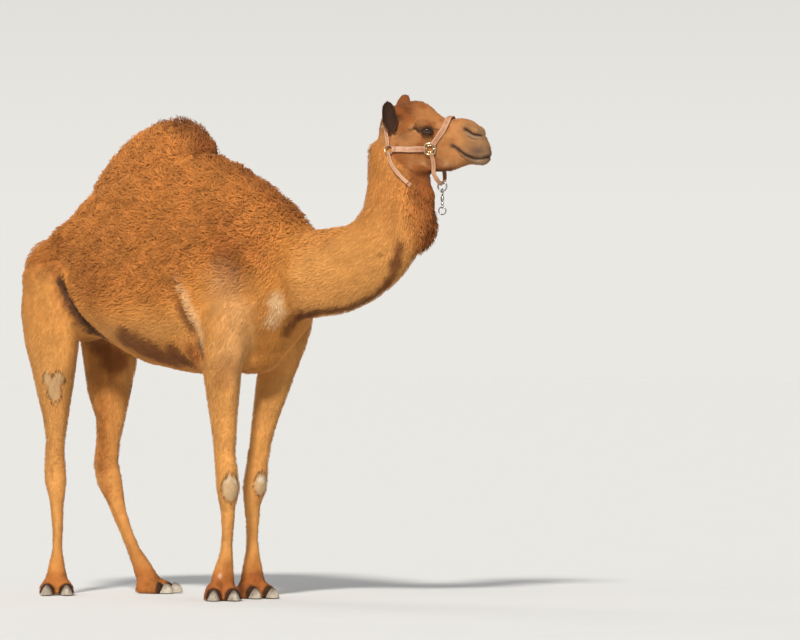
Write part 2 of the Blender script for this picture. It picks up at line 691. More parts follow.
@dataclass
class Skin:
    """The animal's hide, one surface under the coat."""

    grain: float = 0.0122
    broad_rounds: int = 26
    slim_rounds: int = 12
    outline: BVHTree | None = None
    places: Array = field(default=None, repr=False)
    faces: Array = field(default=None, repr=False)
    normals: Array = field(default=None, repr=False)
    shares: Array = field(default=None, repr=False)
    room: Array = field(default=None, repr=False)

    def grow(self) -> "Skin":
        """Makes the surface: joined, smoothed, let in, folded, with the ears put on."""
        flesh = self.joined()
        self.refine(flesh)
        mesh = bpy.data.meshes.new("flesh")
        flesh.to_mesh(mesh)
        flesh.free()
        self.places = np.empty((len(mesh.vertices), 3), np.float32)
        mesh.vertices.foreach_get("co", self.places.ravel())
        self.places = self.places.astype(float)
        self.faces = np.empty((len(mesh.polygons), 3), np.int32)
        mesh.polygons.foreach_get("vertices", self.faces.ravel())
        bpy.data.meshes.remove(mesh)
        self.find_regions()
        self.soften()
        self.let_in()
        self.measure_room()
        self.fold()
        self.add_ears()
        self.normals = vertex_normals(self.places, self.faces)
        LOG.info("skin: %d vertices, %d triangles", len(self.places), len(self.faces))
        return self

    def joined(self) -> bmesh.types.BMesh:
        """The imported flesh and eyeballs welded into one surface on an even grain."""
        flesh = bmesh.new()
        for name in (*FLESH_NODES, "eye_left", "eye_right"):
            flesh.from_mesh(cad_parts[name].data)
        bmesh.ops.remove_doubles(flesh, verts=flesh.verts, dist=1e-5)
        bmesh.ops.translate(flesh, verts=flesh.verts, vec=Vector(-OFFSET))
        mesh = bpy.data.meshes.new("flesh")
        flesh.to_mesh(mesh)
        flesh.free()
        block = add_object("flesh", mesh)
        modifier = block.modifiers.new("grain", "REMESH")
        modifier.mode = "VOXEL"
        modifier.voxel_size = self.grain
        graph = bpy.context.evaluated_depsgraph_get()
        even = bpy.data.meshes.new_from_object(block.evaluated_get(graph))
        bpy.data.objects.remove(block)
        result = bmesh.new()
        result.from_mesh(even)
        for spent in (mesh, even):
            bpy.data.meshes.remove(spent)
        return result

    def refine(self, flesh: bmesh.types.BMesh) -> None:
        """Halves the grain on the head and feet, again on the face, and again by the eyes."""
        for zone in range(3):
            flesh.verts.index_update()
            places = np.array([vertex.co for vertex in flesh.verts])
            along, _, up = to_head(places).T
            by_eye = np.minimum(*(lengths(places - Lids(side).centre()) for side in SIDES))
            inside = (
                ((along > -0.02) & (up > 1.79)) | (places[:, 2] < 0.105),
                ((along > 0.318) & (up > 1.8)) | (by_eye < 0.055),
                by_eye < 0.038,
            )[zone]
            ends = np.array([[v.index for v in edge.verts] for edge in flesh.edges])
            chosen = inside[ends].all(axis=1)
            edges = [edge for edge, take in zip(flesh.edges, chosen) if take]
            bmesh.ops.subdivide_edges(flesh, edges=edges, cuts=1, use_grid_fill=True)
        bmesh.ops.triangulate(flesh, faces=flesh.faces)

    def find_regions(self) -> None:
        """Gives each vertex its shares of the regions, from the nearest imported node, blended."""
        places, faces, owner = [], [], []
        start = 0
        for name, region in FLESH_NODES.items():
            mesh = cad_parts[name].data
            spots = np.empty(len(mesh.vertices) * 3, np.float32)
            mesh.vertices.foreach_get("co", spots)
            places.append(spots.reshape(-1, 3) - OFFSET)
            faces += [tuple(start + index for index in face.vertices) for face in mesh.polygons]
            owner += [region] * len(mesh.polygons)
            start += len(mesh.vertices)
        self.outline = BVHTree.FromPolygons(np.vstack(places).tolist(), faces)
        owner = np.array(owner)
        nearest = [self.outline.find_nearest(spot)[2] for spot in self.places.tolist()]
        self.shares = np.zeros((len(self.places), len(Region)))
        self.shares[np.arange(len(self.places)), owner[np.array(nearest)]] = 1.0
        edges = edges_of(self.faces)
        for _ in range(10):
            self.shares = 0.5 * (self.shares + neighbour_mean(self.shares, edges))

    def share(self, region: Region) -> Array:
        """Each vertex's share of a region."""
        return self.shares[:, region]

    def smooth_normals(self, spots: Array) -> Array:
        """The way out of the skin near each spot: the mean normal of the vertices around it."""
        found = []
        for spot in spots:
            gap = lengths(self.places - spot)
            weight = bell(gap, gap.min() + 0.012)
            found.append(unit((self.normals * weight[:, None]).sum(axis=0)))
        return np.array(found)

    def soften(self) -> None:
        """Smooths the facets away: vertices move towards their neighbours' mean.

        The trunk takes many rounds. Slim parts take a few, each with a slightly larger step back,
        so that they don't shrink.
        """
        edges = edges_of(self.faces)
        sole = self.places[:, 2] < 0.004
        broad = self.share(TRUNK) + self.share(HUMP) + 0.5 * self.share(NECK)
        broad = np.clip(broad, 0.0, 1.0) * 0.5
        slim = 0.55 * (1.0 - broad)
        slim_steps = (slim, slim * -1.04) * self.slim_rounds
        for step in (broad,) * self.broad_rounds + slim_steps:
            self.places += (neighbour_mean(self.places, edges) - self.places) * step[:, None]
        self.places[sole, 2] = 0.0015
        self.places[:, 2] = np.maximum(self.places[:, 2], 0.0015)

    def let_in(self) -> None:
        """Moves the surface in along its normals by the depth of the coat."""
        normals = vertex_normals(self.places, self.faces)
        depth = coat_depth(self.places, self.shares)
        depth *= ramp(self.places[:, 2], 0.002, 0.02)
        edges = edges_of(self.faces)
        for _ in range(6):
            depth = neighbour_mean(depth[:, None], edges)[:, 0]
        self.places -= normals * depth[:, None]

    def fold(self) -> None:
        """Adds the body's folds, the face's, the lids and the split between the toes."""
        normals = vertex_normals(self.places, self.faces)
        right = mirrored(self.places)
        rise = sum(relief.rise(right) for relief in BODY_RELIEFS)
        on_left = self.places[:, 1] > 0
        rise -= 0.75 * BODY_RELIEFS[0].rise(right) * on_left  # the left flank's fold is shallow
        rise *= 1.0 - self.share(HEAD)
        rise += 0.003 * drift(self.places, 0.075, 5) * self.share(TRUNK)
        rise += self.tendons()
        head = to_head(self.places)
        on_head = ramp(self.share(HEAD), 0.3, 0.7) * off_middle(head)
        rise += sum(relief.rise(head[:, [0, 2]]) for relief in SIDE_RELIEFS) * on_head
        rise -= 0.0045 * bell(near_path(head, metres(LIP_SPLIT))[0], 0.005)
        for leg in LEG_NAMES:
            fore, side, up = on_foot(self.places, leg).T
            near = (np.hypot(fore, side) < 0.16) & (up < 0.11)
            split = bell(side, 0.0075) * ramp(fore, 0.025, 0.055) * fall(up, 0.05, 0.09)
            rise -= near * 0.013 * split
        self.places += normals * rise[:, None]
        for side in SIDES:
            self.places = Lids(side).mould(self.places)

    def tendons(self) -> Array:
        """Grooves down the sides of the lower legs, between the bone and the sinew behind it."""
        rise = np.zeros(len(self.places))
        height = self.places[:, 2]
        for line in map(metres, LEG_LINES.values()):
            local = self.places[:, :2] - read(height, line[:, 0], line[:, 1:])
            band = ramp(height, 0.13, 0.18) * fall(height, 0.36, 0.42)
            rise -= 0.0045 * (lengths(local) < 0.1) * bell(local[:, 0] + 0.01, 0.008) * band
        return rise

    def add_ears(self) -> None:
        """Puts both ears on, their roots sunk in the skull."""
        for ear in (
            Ear((0.066, -0.098, 1.956), (0.052, -0.112, 2.079), (0.34, -0.94, 0.0), 0.06),
            Ear((0.038, 0.062, 1.95), (0.06, 0.088, 2.117), (0.42, 0.9, 0.0), 0.088),
        ):
            places, faces = ear.surface()
            self.faces = np.vstack([self.faces, faces + len(self.places)])
            self.places = np.vstack([self.places, places])
            self.room = np.append(self.room, np.full(len(places), 0.002))
            inside = np.arange(len(places)) % (2 * ear.across) >= ear.across
            inside[-2:] = False
            share = np.eye(len(Region))[np.where(inside, EAR_INSIDE, EAR)]
            self.shares = np.vstack([self.shares, share])

    def measure_room(self) -> None:
        """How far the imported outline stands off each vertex: the room that the coat fills.

        It is measured before the folds are pressed in, so the coat follows them.
        """
        found = [self.outline.find_nearest(spot)[3] for spot in self.places.tolist()]
        self.room = np.clip(np.array(found), 0.0015, 0.06)


def off_middle(head: Array) -> Array:
    """Where the face's own lines may be: off its middle line, and round the muzzle's front."""
    return np.maximum(ramp(np.abs(head[:, 1]), 0.01, 0.026), ramp(head[:, 0], 0.415, 0.44))


def coat_depth(places: Array, shares: Array) -> Array:
    """How deep the coat is: the regions' depths by their shares, more for wool and the throat.

    Args:
        places: Points in own coordinates.
        shares: Their shares of the regions.

    Returns:
        Depths.
    """
    depth = shares @ coat_values("depth")
    on_trunk = shares[:, TRUNK] + shares[:, HUMP]
    depth += 0.014 * woolliness(places, shares) * on_trunk
    off_head = 1.0 - shares[:, HEAD]
    depth += 0.016 * throat_share(places, 0.095) * fall(places[:, 2], 1.64, 1.72) * off_head
    face = ramp(to_head(places)[:, 0], 0.24, 0.36) * shares[:, HEAD]
    return depth * (1.0 - 0.45 * face)


@dataclass(frozen=True)
class Coat:
    """A region's coat: depth, and the tufts' length, width, number to the square metre."""

    depth: float
    length: float
    width: float
    number: float


COATS = {
    TRUNK: Coat(0.011, 0.02, 0.0031, 26000),
    HUMP: Coat(0.018, 0.027, 0.0034, 28000),
    NECK: Coat(0.01, 0.02, 0.0031, 23000),
    HEAD: Coat(0.005, 0.0105, 0.0022, 52000),
    UPPER_LEG: Coat(0.008, 0.018, 0.0031, 21000),
    LOWER_LEG: Coat(0.0045, 0.014, 0.0026, 24000),
    FOOT: Coat(0.004, 0.013, 0.0026, 28000),
    TAIL: Coat(0.008, 0.034, 0.004, 30000),
    EAR: Coat(0.0015, 0.012, 0.0022, 50000),
    EAR_INSIDE: Coat(0.0015, 0.011, 0.002, 40000),
}
# The throat's wool, the split of the lip and the brow, in millimetres; the elbow, in metres.
THROAT_PATH = ((1288, 178, 1745), (1290, 196, 1660), (1268, 205, 1565))
ELBOW_SPOT = np.array([0.35, -0.235, 1.04])
LIP_SPLIT = ((472, 0, 1868), (462, 0, 1905), (440, 0, 1950))
BROW = ((142, 1963), (175, 1973), (212, 1974), (255, 1964))


def coat_values(key: str) -> Array:
    """One of the coats' values for every region, in order."""
    return np.array([getattr(COATS[region], key) for region in Region])


def throat_share(places: Array, reach: float) -> Array:
    """How much places belong to the throat's long wool: a bell of the distance to its line."""
    return bell(near_path(places, metres(THROAT_PATH))[0], reach)


def woolliness(places: Array, shares: Array) -> Array:
    """How curly the coat is, from 0 where it is sleek to 1.

    The back, sides and shoulders are woolly inside soft limits in x and z, as are the nape, the
    throat, the crown of the head and the elbows.

    Args:
        places: Points in own coordinates.
        shares: Their shares of the regions.

    Returns:
        A number for each place.
    """
    x, z = places[:, 0], places[:, 2]
    height = z + 0.22 * ramp(x, -0.15, -0.5)
    low = 1.17 + 0.06 * ramp(x, -0.1, -0.4) + 0.13 * ramp(x, 0.2, 0.45)
    side = ramp(z - low, -0.02, 0.17) * ramp(x, -0.62, -0.26) * fall(x, 0.66, 0.84)
    side = np.maximum(side, ramp(height, 1.46, 1.62) * ramp(x, -0.74, -0.46))
    trunk = shares[:, TRUNK]
    wool = shares[:, HUMP] + trunk * side
    elbow = bell(lengths(mirrored(places) - ELBOW_SPOT), 0.07)
    shoulder = ramp(z, 1.28, 1.46) * ramp(x, 0.3, 0.36) * (x > 0)
    wool += 0.9 * elbow * trunk + shares[:, UPPER_LEG] * np.maximum(shoulder, elbow)
    _, middle, _ = by_neck(places)
    behind = unit(places - middle) @ unit(np.array([-0.55, -0.15, 0.8]))
    nape = ramp(behind, 0.45, 0.85) * 0.75
    throat = throat_share(places, 0.105)
    root = fall(x, 0.8, 0.9) * ramp(z, 1.36, 1.46)
    neck = np.clip(np.maximum.reduce([nape, 1.3 * throat, root]), 0, 1)
    wool += shares[:, NECK] * neck
    head = to_head(places)
    crown = fall(head[:, 0], 0.12, 0.17) * ramp(head[:, 2], 2.02, 2.06)
    wool += shares[:, HEAD] * np.clip(0.75 * crown + 0.4 * throat, 0, 1)
    wool += shares[:, TAIL] * 0.3
    return np.clip(wool, 0.0, 1.0)


class Tone(Enum):
    """The colours of the coat, as linear red, green and blue."""

    GOLD = (0.6, 0.24, 0.052)
    PALE_GOLD = (0.67, 0.305, 0.084)
    WOOL = (0.57, 0.212, 0.049)
    RUSSET = (0.33, 0.1, 0.024)
    CREST = (0.15, 0.047, 0.016)
    CREAM = (0.79, 0.53, 0.29)
    WHITE = (0.78, 0.68, 0.55)
    CALLUS = (0.47, 0.335, 0.19)
    RIM = (0.09, 0.045, 0.022)
    MUZZLE = (0.33, 0.18, 0.085)
    LIP = (0.13, 0.082, 0.055)
    LOWER_LIP = (0.4, 0.265, 0.16)
    DARK = (0.05, 0.024, 0.014)
    FACE = (0.52, 0.228, 0.078)


(GOLD, PALE_GOLD, WOOL, RUSSET, CREST, CREAM, WHITE, CALLUS, RIM, MUZZLE, LIP, LOWER_LIP, DARK,
 FACE) = Tone
SLOW_NOISE = ((0.12, 0.16, 3), (0.13, 0.055, 4), (0.07, 0.022, 5))  # how much, size, seed
TONES = {
    TRUNK: GOLD, HUMP: WOOL, NECK: PALE_GOLD, HEAD: FACE, UPPER_LEG: PALE_GOLD,
    LOWER_LEG: PALE_GOLD, FOOT: WOOL, TAIL: WOOL, EAR: RUSSET, EAR_INSIDE: DARK,
}


@dataclass(frozen=True)
class Mark:
    """A patch of another colour along a path, or round one point, its edge made ragged by noise.

    Its strength is strong · (1 − ramp) of the distance, scaled on each axis.
    """

    path: tuple
    reach: float
    tone: Tone
    strong: float = 0.8
    right_only: bool = False
    soft: float = 0.6
    scale: tuple = (1.0, 1.0, 1.0)

    def strength(self, places: Array) -> Array:
        """How strongly it colours each place."""
        folded = places if self.right_only else mirrored(places)
        path = metres(self.path if len(self.path) > 1 else self.path * 2)
        if len(self.path) == 1:
            path[1, 2] += 1e-4
        distance, _ = near_path(folded / self.scale, path / self.scale)
        ragged = distance + 0.22 * self.reach * drift(places, 0.022, 17)
        return self.strong * fall(ragged, self.reach * (1.0 - self.soft), self.reach)


MARKS = (
    Mark(((-320, -235, 1150), (-150, -245, 1110), (50, -245, 1150), (300, -230, 1150)), 0.12,
         PALE_GOLD, 0.75, soft=0.9),
    Mark(((-60, 0, 2055), (60, 0, 2050), (180, 0, 1990), (250, 0, 1900)), 0.125, CREST, 0.85,
         soft=0.75, scale=(1.0, 1.3, 0.8)),
    Mark(((250, 0, 1900), (360, 0, 1860), (500, 0, 1800), (640, 0, 1720), (760, 0, 1640)), 0.11,
         RUSSET, 0.6, soft=0.8),
    Mark(((420, 0, 1835), (560, 0, 1765), (700, 0, 1680)), 0.045, CREST, 0.5),
    Mark(((520, -205, 1475), (575, -200, 1440), (620, -197, 1400)), 0.08, CREST, 0.35, True,
         0.9),
    Mark(((480, -190, 1600), (540, -200, 1480), (560, -215, 1390)), 0.14, RUSSET, 0.5,
         soft=0.9),
    Mark(((750, -125, 1262), (752, -110, 1215), (722, -125, 1165)), 0.058, CREAM, 0.85, True,
         0.95),
    Mark(((738, -35, 1130), (775, -40, 1172), (835, -35, 1190)), 0.06, CREST, 0.85, True,
         0.9),
    Mark(((1298, 56, 1490), (1261, 63, 1363), (1180, 57, 1285), (1061, 12, 1224), (923, -39, 1208),
         (800, -20, 1200)), 0.04, CREST, 0.88, True, 0.8),
    Mark(((681, -141, 1555), (680, -144, 1515)), 0.016, WHITE, 1.0, True, 0.3),
    Mark(((642, -87, 1658),), 0.013, WHITE, 0.9, True, 0.4),
    Mark(((600, -175, 1560), (612, -170, 1548)), 0.01, WHITE, 0.8, True, 0.4),
    Mark(((295, -276, 1390), (345, -270, 1290), (385, -250, 1180), (405, -229, 1070)), 0.036,
         CREAM, 0.5, soft=0.8),
    Mark(((262, -285, 1380), (300, -275, 1280), (354, -240, 1148), (408, -228, 1040)), 0.026,
         CREST, 0.8, soft=0.7),
    Mark(((-30, -235, 1110), (60, -200, 1060), (140, -160, 1010)), 0.098, CREST, 0.8, True,
         0.6),
    Mark(((215, -200, 1060), (240, -150, 985)), 0.06, CREST, 0.8, True, 0.6),
    Mark(((-600, 60, 1100), (-540, 70, 1060), (-490, 115, 995)), 0.09, CREST, 0.82, True,
         0.7),
    Mark(((540, -220, 1330), (600, -205, 1200), (580, -215, 1000)), 0.15, CREAM, 0.2, True,
         0.95),
    Mark(((-280, -240, 1400), (-200, -250, 1280)), 0.17, RUSSET, 0.4, soft=0.95),
    Mark(((341, -234, 1031),), 0.075, RUSSET, 0.8, soft=0.8),
    Mark(((560, -215, 990), (520, -225, 930)), 0.07, RUSSET, 0.45, soft=0.9),
    Mark(((-505, -232, 1390), (-427, -240, 1273), (-374, -250, 1222), (-290, -215, 1125)), 0.06,
         RUSSET, 0.7, soft=0.8),
    Mark(((-486, -215, 1350), (-427, -218, 1273), (-374, -224, 1222), (-312, -195, 1150),
         (-262, -165, 1100)), 0.04, DARK, 0.92, True, 0.7),
    Mark(((-700, -90, 1460), (-640, -190, 1420), (-540, -200, 1500)), 0.15, RUSSET, 0.5,
         soft=0.9),
    Mark(((-522, -233, 548), (-522, -233, 500)), 0.013, DARK, 0.65, True, 0.8),
    Mark(((470, -185, 110),), 0.016, WHITE, 0.55, True, 0.5),
    Mark(((1233, 4, 1453),), 0.02, DARK, 0.8, True, 0.8),
    Mark(((490, -150, 150), (486, -160, 105)), 0.045, RUSSET, 0.7, soft=0.9),
    Mark(((380, 110, 150), (380, 110, 105)), 0.045, RUSSET, 0.6, True, 0.9),
    Mark(((-590, 120, 900), (-570, 110, 600), (-560, 120, 420)), 0.04, RUSSET, 0.55, True,
         0.9),
    Mark(((-560, 180, 1000), (-500, 200, 600), (-450, 220, 200)), 0.2, RUSSET, 0.28, True,
         0.9),
)
# The bare pads of thick skin in millimetres: a point of each, and its reach along x, y and z.
PADS = (
    ((-518, -255, 930), (25, 40, 36)),
    ((-474, -230, 932), (23, 40, 34)),
    ((-495, -245, 880), (30, 50, 54)),
    ((524, -168, 474), (46, 44, 66)),
    ((412, 122, 482), (36, 42, 60)),
    ((-500, 255, 926), (27, 40, 42)),
    ((-460, 228, 930), (24, 40, 38)),
    ((-480, 242, 878), (34, 50, 56)),
)


def pad_distance(places: Array) -> Array:
    """The distance to the nearest pad, 1 being its edge: an ellipsoid's scaled distance."""
    far = [lengths((places - spot) / reach) for spot, reach in metres(PADS)]
    return np.minimum.reduce(far) + 0.05 * drift(places, 0.02, 31)


def nail_distance(places: Array) -> Array:
    """The distance to the nearest nail, 1 being about its edge: an ellipsoid's scaled distance."""
    far = [lengths((on_foot(places, leg) - (0.084, side * 0.042, 0.014)) / (0.04, 0.031, 0.042))
           for leg in LEG_NAMES for side in SIDES]
    return np.minimum.reduce(far)


def shade_of(places: Array, shares: Array) -> Array:
    """The colour of the coat at places on the body; skin and tufts both take it.

    The regions' colours are mixed by their shares, marks are laid over them one after another,
    and slow noise makes everything a little lighter or darker.

    Args:
        places: Points in own coordinates.
        shares: Their shares of the regions.

    Returns:
        Linear red, green and blue for each.
    """
    x, y, z = places.T
    shade = shares @ np.array([TONES[region].value for region in Region])

    def lay(strength: Array, tone: Tone) -> None:
        """Mixes a tone over the colours so far."""
        nonlocal shade
        strength = np.clip(strength, 0.0, 1.0)[:, None]
        shade = shade * (1.0 - strength) + np.array(tone.value) * strength

    wool = woolliness(places, shares)
    legs, neck, foot, on = (
        shares[:, region] for region in (UPPER_LEG, NECK, FOOT, HEAD))
    lay(0.85 * wool * (1.0 - on) * (1.0 - neck), WOOL)
    lay(0.5 * wool * neck, WOOL)
    lay(0.45 * legs * ramp(z, 0.95, 1.2), GOLD)
    lay(0.45 * shares[:, LOWER_LEG] * fall(z, 0.13, 0.24), WOOL)
    lay(np.where(x > 0, 0.9, 0.45) * foot * fall(z, 0.07, 0.16), RUSSET)
    lay(0.55 * (x > 0) * foot * ramp(drift(places, 0.026, 23), 0.1, 0.45), CREST)
    lay(0.6 * neck * ramp(z, 1.36, 1.72), WOOL)
    lay(0.55 * (x < 0) * legs * ramp(-np.abs(y), -0.16, -0.1), GOLD)
    throat = throat_share(places, 0.135)
    lay(1.1 * throat * ramp(places @ HEAD_AXES[0], 1.2, 1.26), RUSSET)
    lay(0.4 * throat * (1 - on) * ramp(drift(places, 0.03, 8), 0.0, 0.6), CREST)
    for mark in MARKS:
        lay(mark.strength(places) * (1.0 - on), mark.tone)
    pad = pad_distance(places)
    lay(0.9 * bell(pad - 0.96, 0.08), RIM)
    lay(0.97 * fall(nail_distance(places), 1.24, 1.6), DARK)
    lay(np.where(z < 0.7, 0.85, 0.65) * fall(pad, 0.78, 0.92), CALLUS)
    upper = fall(pad, 0.4, 0.85) * ramp(drift(places, 0.024, 33) + 14.0 * (z - 0.5), -0.2, 0.5)
    lay(0.8 * upper * (z < 0.7), WHITE)

    head = to_head(places)
    flat = head[:, [0, 2]]
    along, side, up = head[:, 0], np.abs(head[:, 1]), head[:, 2]

    def blob(middle_along: float, middle_up: float, stretch: float, reach: float) -> Array:
        """A soft spot on the side of the head, longer than high by the stretch."""
        return bell(np.hypot((along - middle_along) / stretch, up - middle_up), reach)

    lay(on * 0.9 * fall(along, 0.12, 0.2) * ramp(up, 1.975, 2.025), CREST)
    lay(on * 0.8 * fall(along, 0.1, 0.19) * fall(up, 1.83, 1.93), RUSSET)
    lay(on * 0.35 * ramp(up, 1.965, 2.025), RUSSET)
    temple, poll = blob(0.105, 1.955, 1.2, 0.036), blob(0.112, 2.03, 1.0, 0.036)
    lay(on * np.maximum(0.55 * temple, 0.85 * poll), CREST)
    lay(on * 0.6 * blob(0.24, 1.824, 2.4, 0.02), CREAM)
    lay(on * 0.5 * blob(0.115, 1.845, 1.0, 0.036), CREST)
    lay(on * 0.95 * bell(SIDE_RELIEFS[JAW_GROOVE].distance(flat), 0.021), CREST)
    blotches = ramp(drift(places, 0.034, 21), 0.05, 0.55)
    lay(on * 0.75 * blotches * fall(along, 0.25, 0.36), RUSSET)
    lay(on * 0.45 * ramp(along, 0.33, 0.4), MUZZLE)
    lay(on * 0.6 * ramp(along, 0.385, 0.45), MUZZLE)
    mouth = SIDE_RELIEFS[MOUTH].distance(flat)
    lay(on * 0.8 * off_middle(head) * bell(mouth, 0.011), LIP)
    lay(on * 0.97 * off_middle(head) * bell(mouth, 0.0054), DARK)
    lay(on * 0.85 * blob(0.425, 1.872, 1.7, 0.026), LIP)
    lay(on * 0.85 * blob(0.428, 1.829, 2.2, 0.012), LOWER_LIP)
    brow, _ = near_path(flat, metres(BROW))
    lay(on * 0.7 * ramp(side, 0.03, 0.05) * bell(brow, 0.0055), DARK)
    for number, strength, width, tone in (
        (NOSTRIL, 0.7, 0.011, LIP), (NOSTRIL, 1.0, 0.0054, DARK),
        (CRESCENT, 0.8, 0.0055, LOWER_LIP),
    ):
        distance = SIDE_RELIEFS[number].distance(flat)
        lay(on * strength * ramp(side, 0.012, 0.026) * bell(distance, width), tone)
    for turn in SIDES:
        local, reach, edge = Lids(turn).look(places)
        near = on * ((reach < 0.06) & (local[:, 2] > 0))
        lay(near * 0.85 * bell(np.maximum(edge, 0), 0.013), CREST)
        lay(near * 0.97 * bell(np.maximum(edge, 0), 0.008), DARK)
    lay(shares[:, EAR] * np.where(head[:, 1] < 0, 0.85, 0.5), CREST)
    slow = sum(much * drift(places, size, seed) for much, size, seed in SLOW_NOISE)
    curly = 0.2 * drift(places, 0.026, 6) * wool
    return np.clip(shade * (1.0 + slow + curly)[:, None], 0.004, 0.95)


def lie_of_coat(places: Array, normals: Array, shares: Array) -> Array:
    """Which way the hair lies: back and down on the trunk, down the neck, back along the head.

    The regions' directions are mixed by the shares, and laid flat on the skin.

    Args:
        places: Points in own coordinates.
        normals: The skin's normals there.
        shares: Their shares of the regions.

    Returns:
        Unit vectors along the skin.
    """
    x, none = places[:, 0], np.zeros(len(places))
    ways = np.zeros((len(places), len(Region), 3))
    rump, chest = fall(x, -0.62, -0.34), ramp(x, 0.45, 0.72)
    down = -0.4 - 0.6 * rump - 0.5 * chest
    ways[:, TRUNK] = np.stack([-1.0 + 0.7 * rump + 0.5 * chest, none, down], -1)
    _, _, slope = by_neck(places)
    throat = throat_share(places, 0.13)[:, None]
    ways[:, NECK] = -unit(slope) * (1 - throat) + np.array([0.25, 0.1, -1.0]) * throat
    head = to_head(places)
    back = np.stack([none - 1.0, none, -0.25 * ramp(np.abs(head[:, 1]), 0.02, 0.06)], -1)
    back[:, 2] += 0.6 * (ramp(head[:, 2], 2.03, 2.07) * fall(head[:, 0], 0.1, 0.18))
    ways[:, HEAD] = back @ HEAD_AXES
    for region, way in (
        (HUMP, (-0.9, 0.0, 0.25)), (UPPER_LEG, (-0.18, 0.0, -1.0)),
        (LOWER_LEG, (-0.18, 0.0, -1.0)), (FOOT, (0.1, 0.0, -1.0)),
        (TAIL, (-0.05, 0.0, -1.0)), (EAR, (-0.05, 0.0, 1.0)),
        (EAR_INSIDE, (-0.05, 0.0, 1.0)),
    ):
        ways[:, region] = way
    way = (ways * shares[:, :, None]).sum(axis=1) + np.array([-0.03, 0.0, -0.06])
    way -= normals * (way * normals).sum(axis=1)[:, None]
    return unit(way)


def unwrap(places: Array, region: Array) -> Array:
    """Where the skin's own unwrap puts each place.

    Every part is unrolled like a tube: the angle round its middle line goes across its panel and
    the place along the line goes up it.

    Args:
        places: Points in own coordinates.
        region: The number of the region that each is mostly in.

    Returns:
        Pairs from 0 to 1.
    """
    x, y, z = places.T
    result = np.zeros((len(places), 2))

    def put(which: Array, left: float, wide: float, turn: Arrays, low: float, high: Array) -> None:
        """Fills a panel: the angle of a pair of sides across it, a share of 0..1 up it."""
        angle = np.arctan2(*turn) / TAU + 0.5
        tall = 0.57 if low > 0.4 else 0.38
        up = low + tall * np.clip(high, 0, 1)
        result[which] = np.column_stack([left + wide * angle, up])[which]

    put(np.ones(len(x), bool), 0.01, 0.58, (y, z - 1.42), 0.41, (x + 0.86) / 1.74)
    share, middle, slope = by_neck(places)
    left = np.array([0.0, 1.0, 0.0])
    across = unit(np.cross(unit(slope), left))
    local = places - middle
    put(region == NECK, 0.62, 0.37, (local @ left, (local * across).sum(1)), 0.41, share)
    head = to_head(places)
    put(region == HEAD, 0.62, 0.26, (head[:, 1], head[:, 2] - 1.93), 0.01,
        (head[:, 0] + 0.04) / 0.54)
    for spot, member, middle_x, middle_y in (
        (0.9, TAIL, -0.8, 0.0), (0.94, EAR, 1.17, 0.16),
        (0.97, EAR_INSIDE, 1.17, 0.16),
    ):
        put(region == member, spot, 0.025, (y - middle_y, x - middle_x), 0.01, (z - 0.8) / 1.34)
    legs = np.isin(region, LEG_REGIONS)
    for place, (name, line) in enumerate(LEG_LINES.items()):
        on = legs & ((x > 0) == name.startswith("fore")) & ((y > 0) == name.endswith("left"))
        line = metres(line)
        local = places[:, :2] - read(z, line[:, 0], line[:, 1:])
        put(on, 0.01 + 0.15 * place, 0.14, (local[:, 1], local[:, 0]), 0.01, z / 1.5)
    return np.clip(result, 0.003, 0.997)


@dataclass
class Roots:
    """Where tufts grow: their places, the skin there, and what each is to be."""

    place: Array
    normal: Array
    way: Array
    shares: Array
    room: Array

    def chosen(self, which: Array) -> "Roots":
        """Only some of them."""
        return Roots(*(getattr(self, each.name)[which] for each in fields(self)))


@dataclass(frozen=True)
class TuftForm:
    """The make of a tuft: where its rings stand along it, and how wide they are."""

    stands: tuple
    girths: tuple

    def faces(self) -> Array:
        """Triangles: a fan from the root, strips between rings of three, a fan to the tip."""
        last = 1 + 3 * len(self.stands)
        faces = []
        for k in range(3):
            faces.append((0, 1 + (k + 1) % 3, 1 + k))
            for level in range(len(self.stands) - 1):
                a, b = 1 + 3 * level + k, 1 + 3 * level + (k + 1) % 3
                faces += [(a, b, b + 3), (a, b + 3, a + 3)]
            faces.append((last - 3 + k, last - 3 + (k + 1) % 3, last))
        return np.array(faces)


SLEEK = TuftForm((0.42,), (1.0,))
CURL = TuftForm((0.24, 0.5, 0.78), (0.75, 1.0, 0.72))
LOCK = TuftForm((0.15, 0.34, 0.54, 0.76), (0.7, 1.0, 0.95, 0.6))


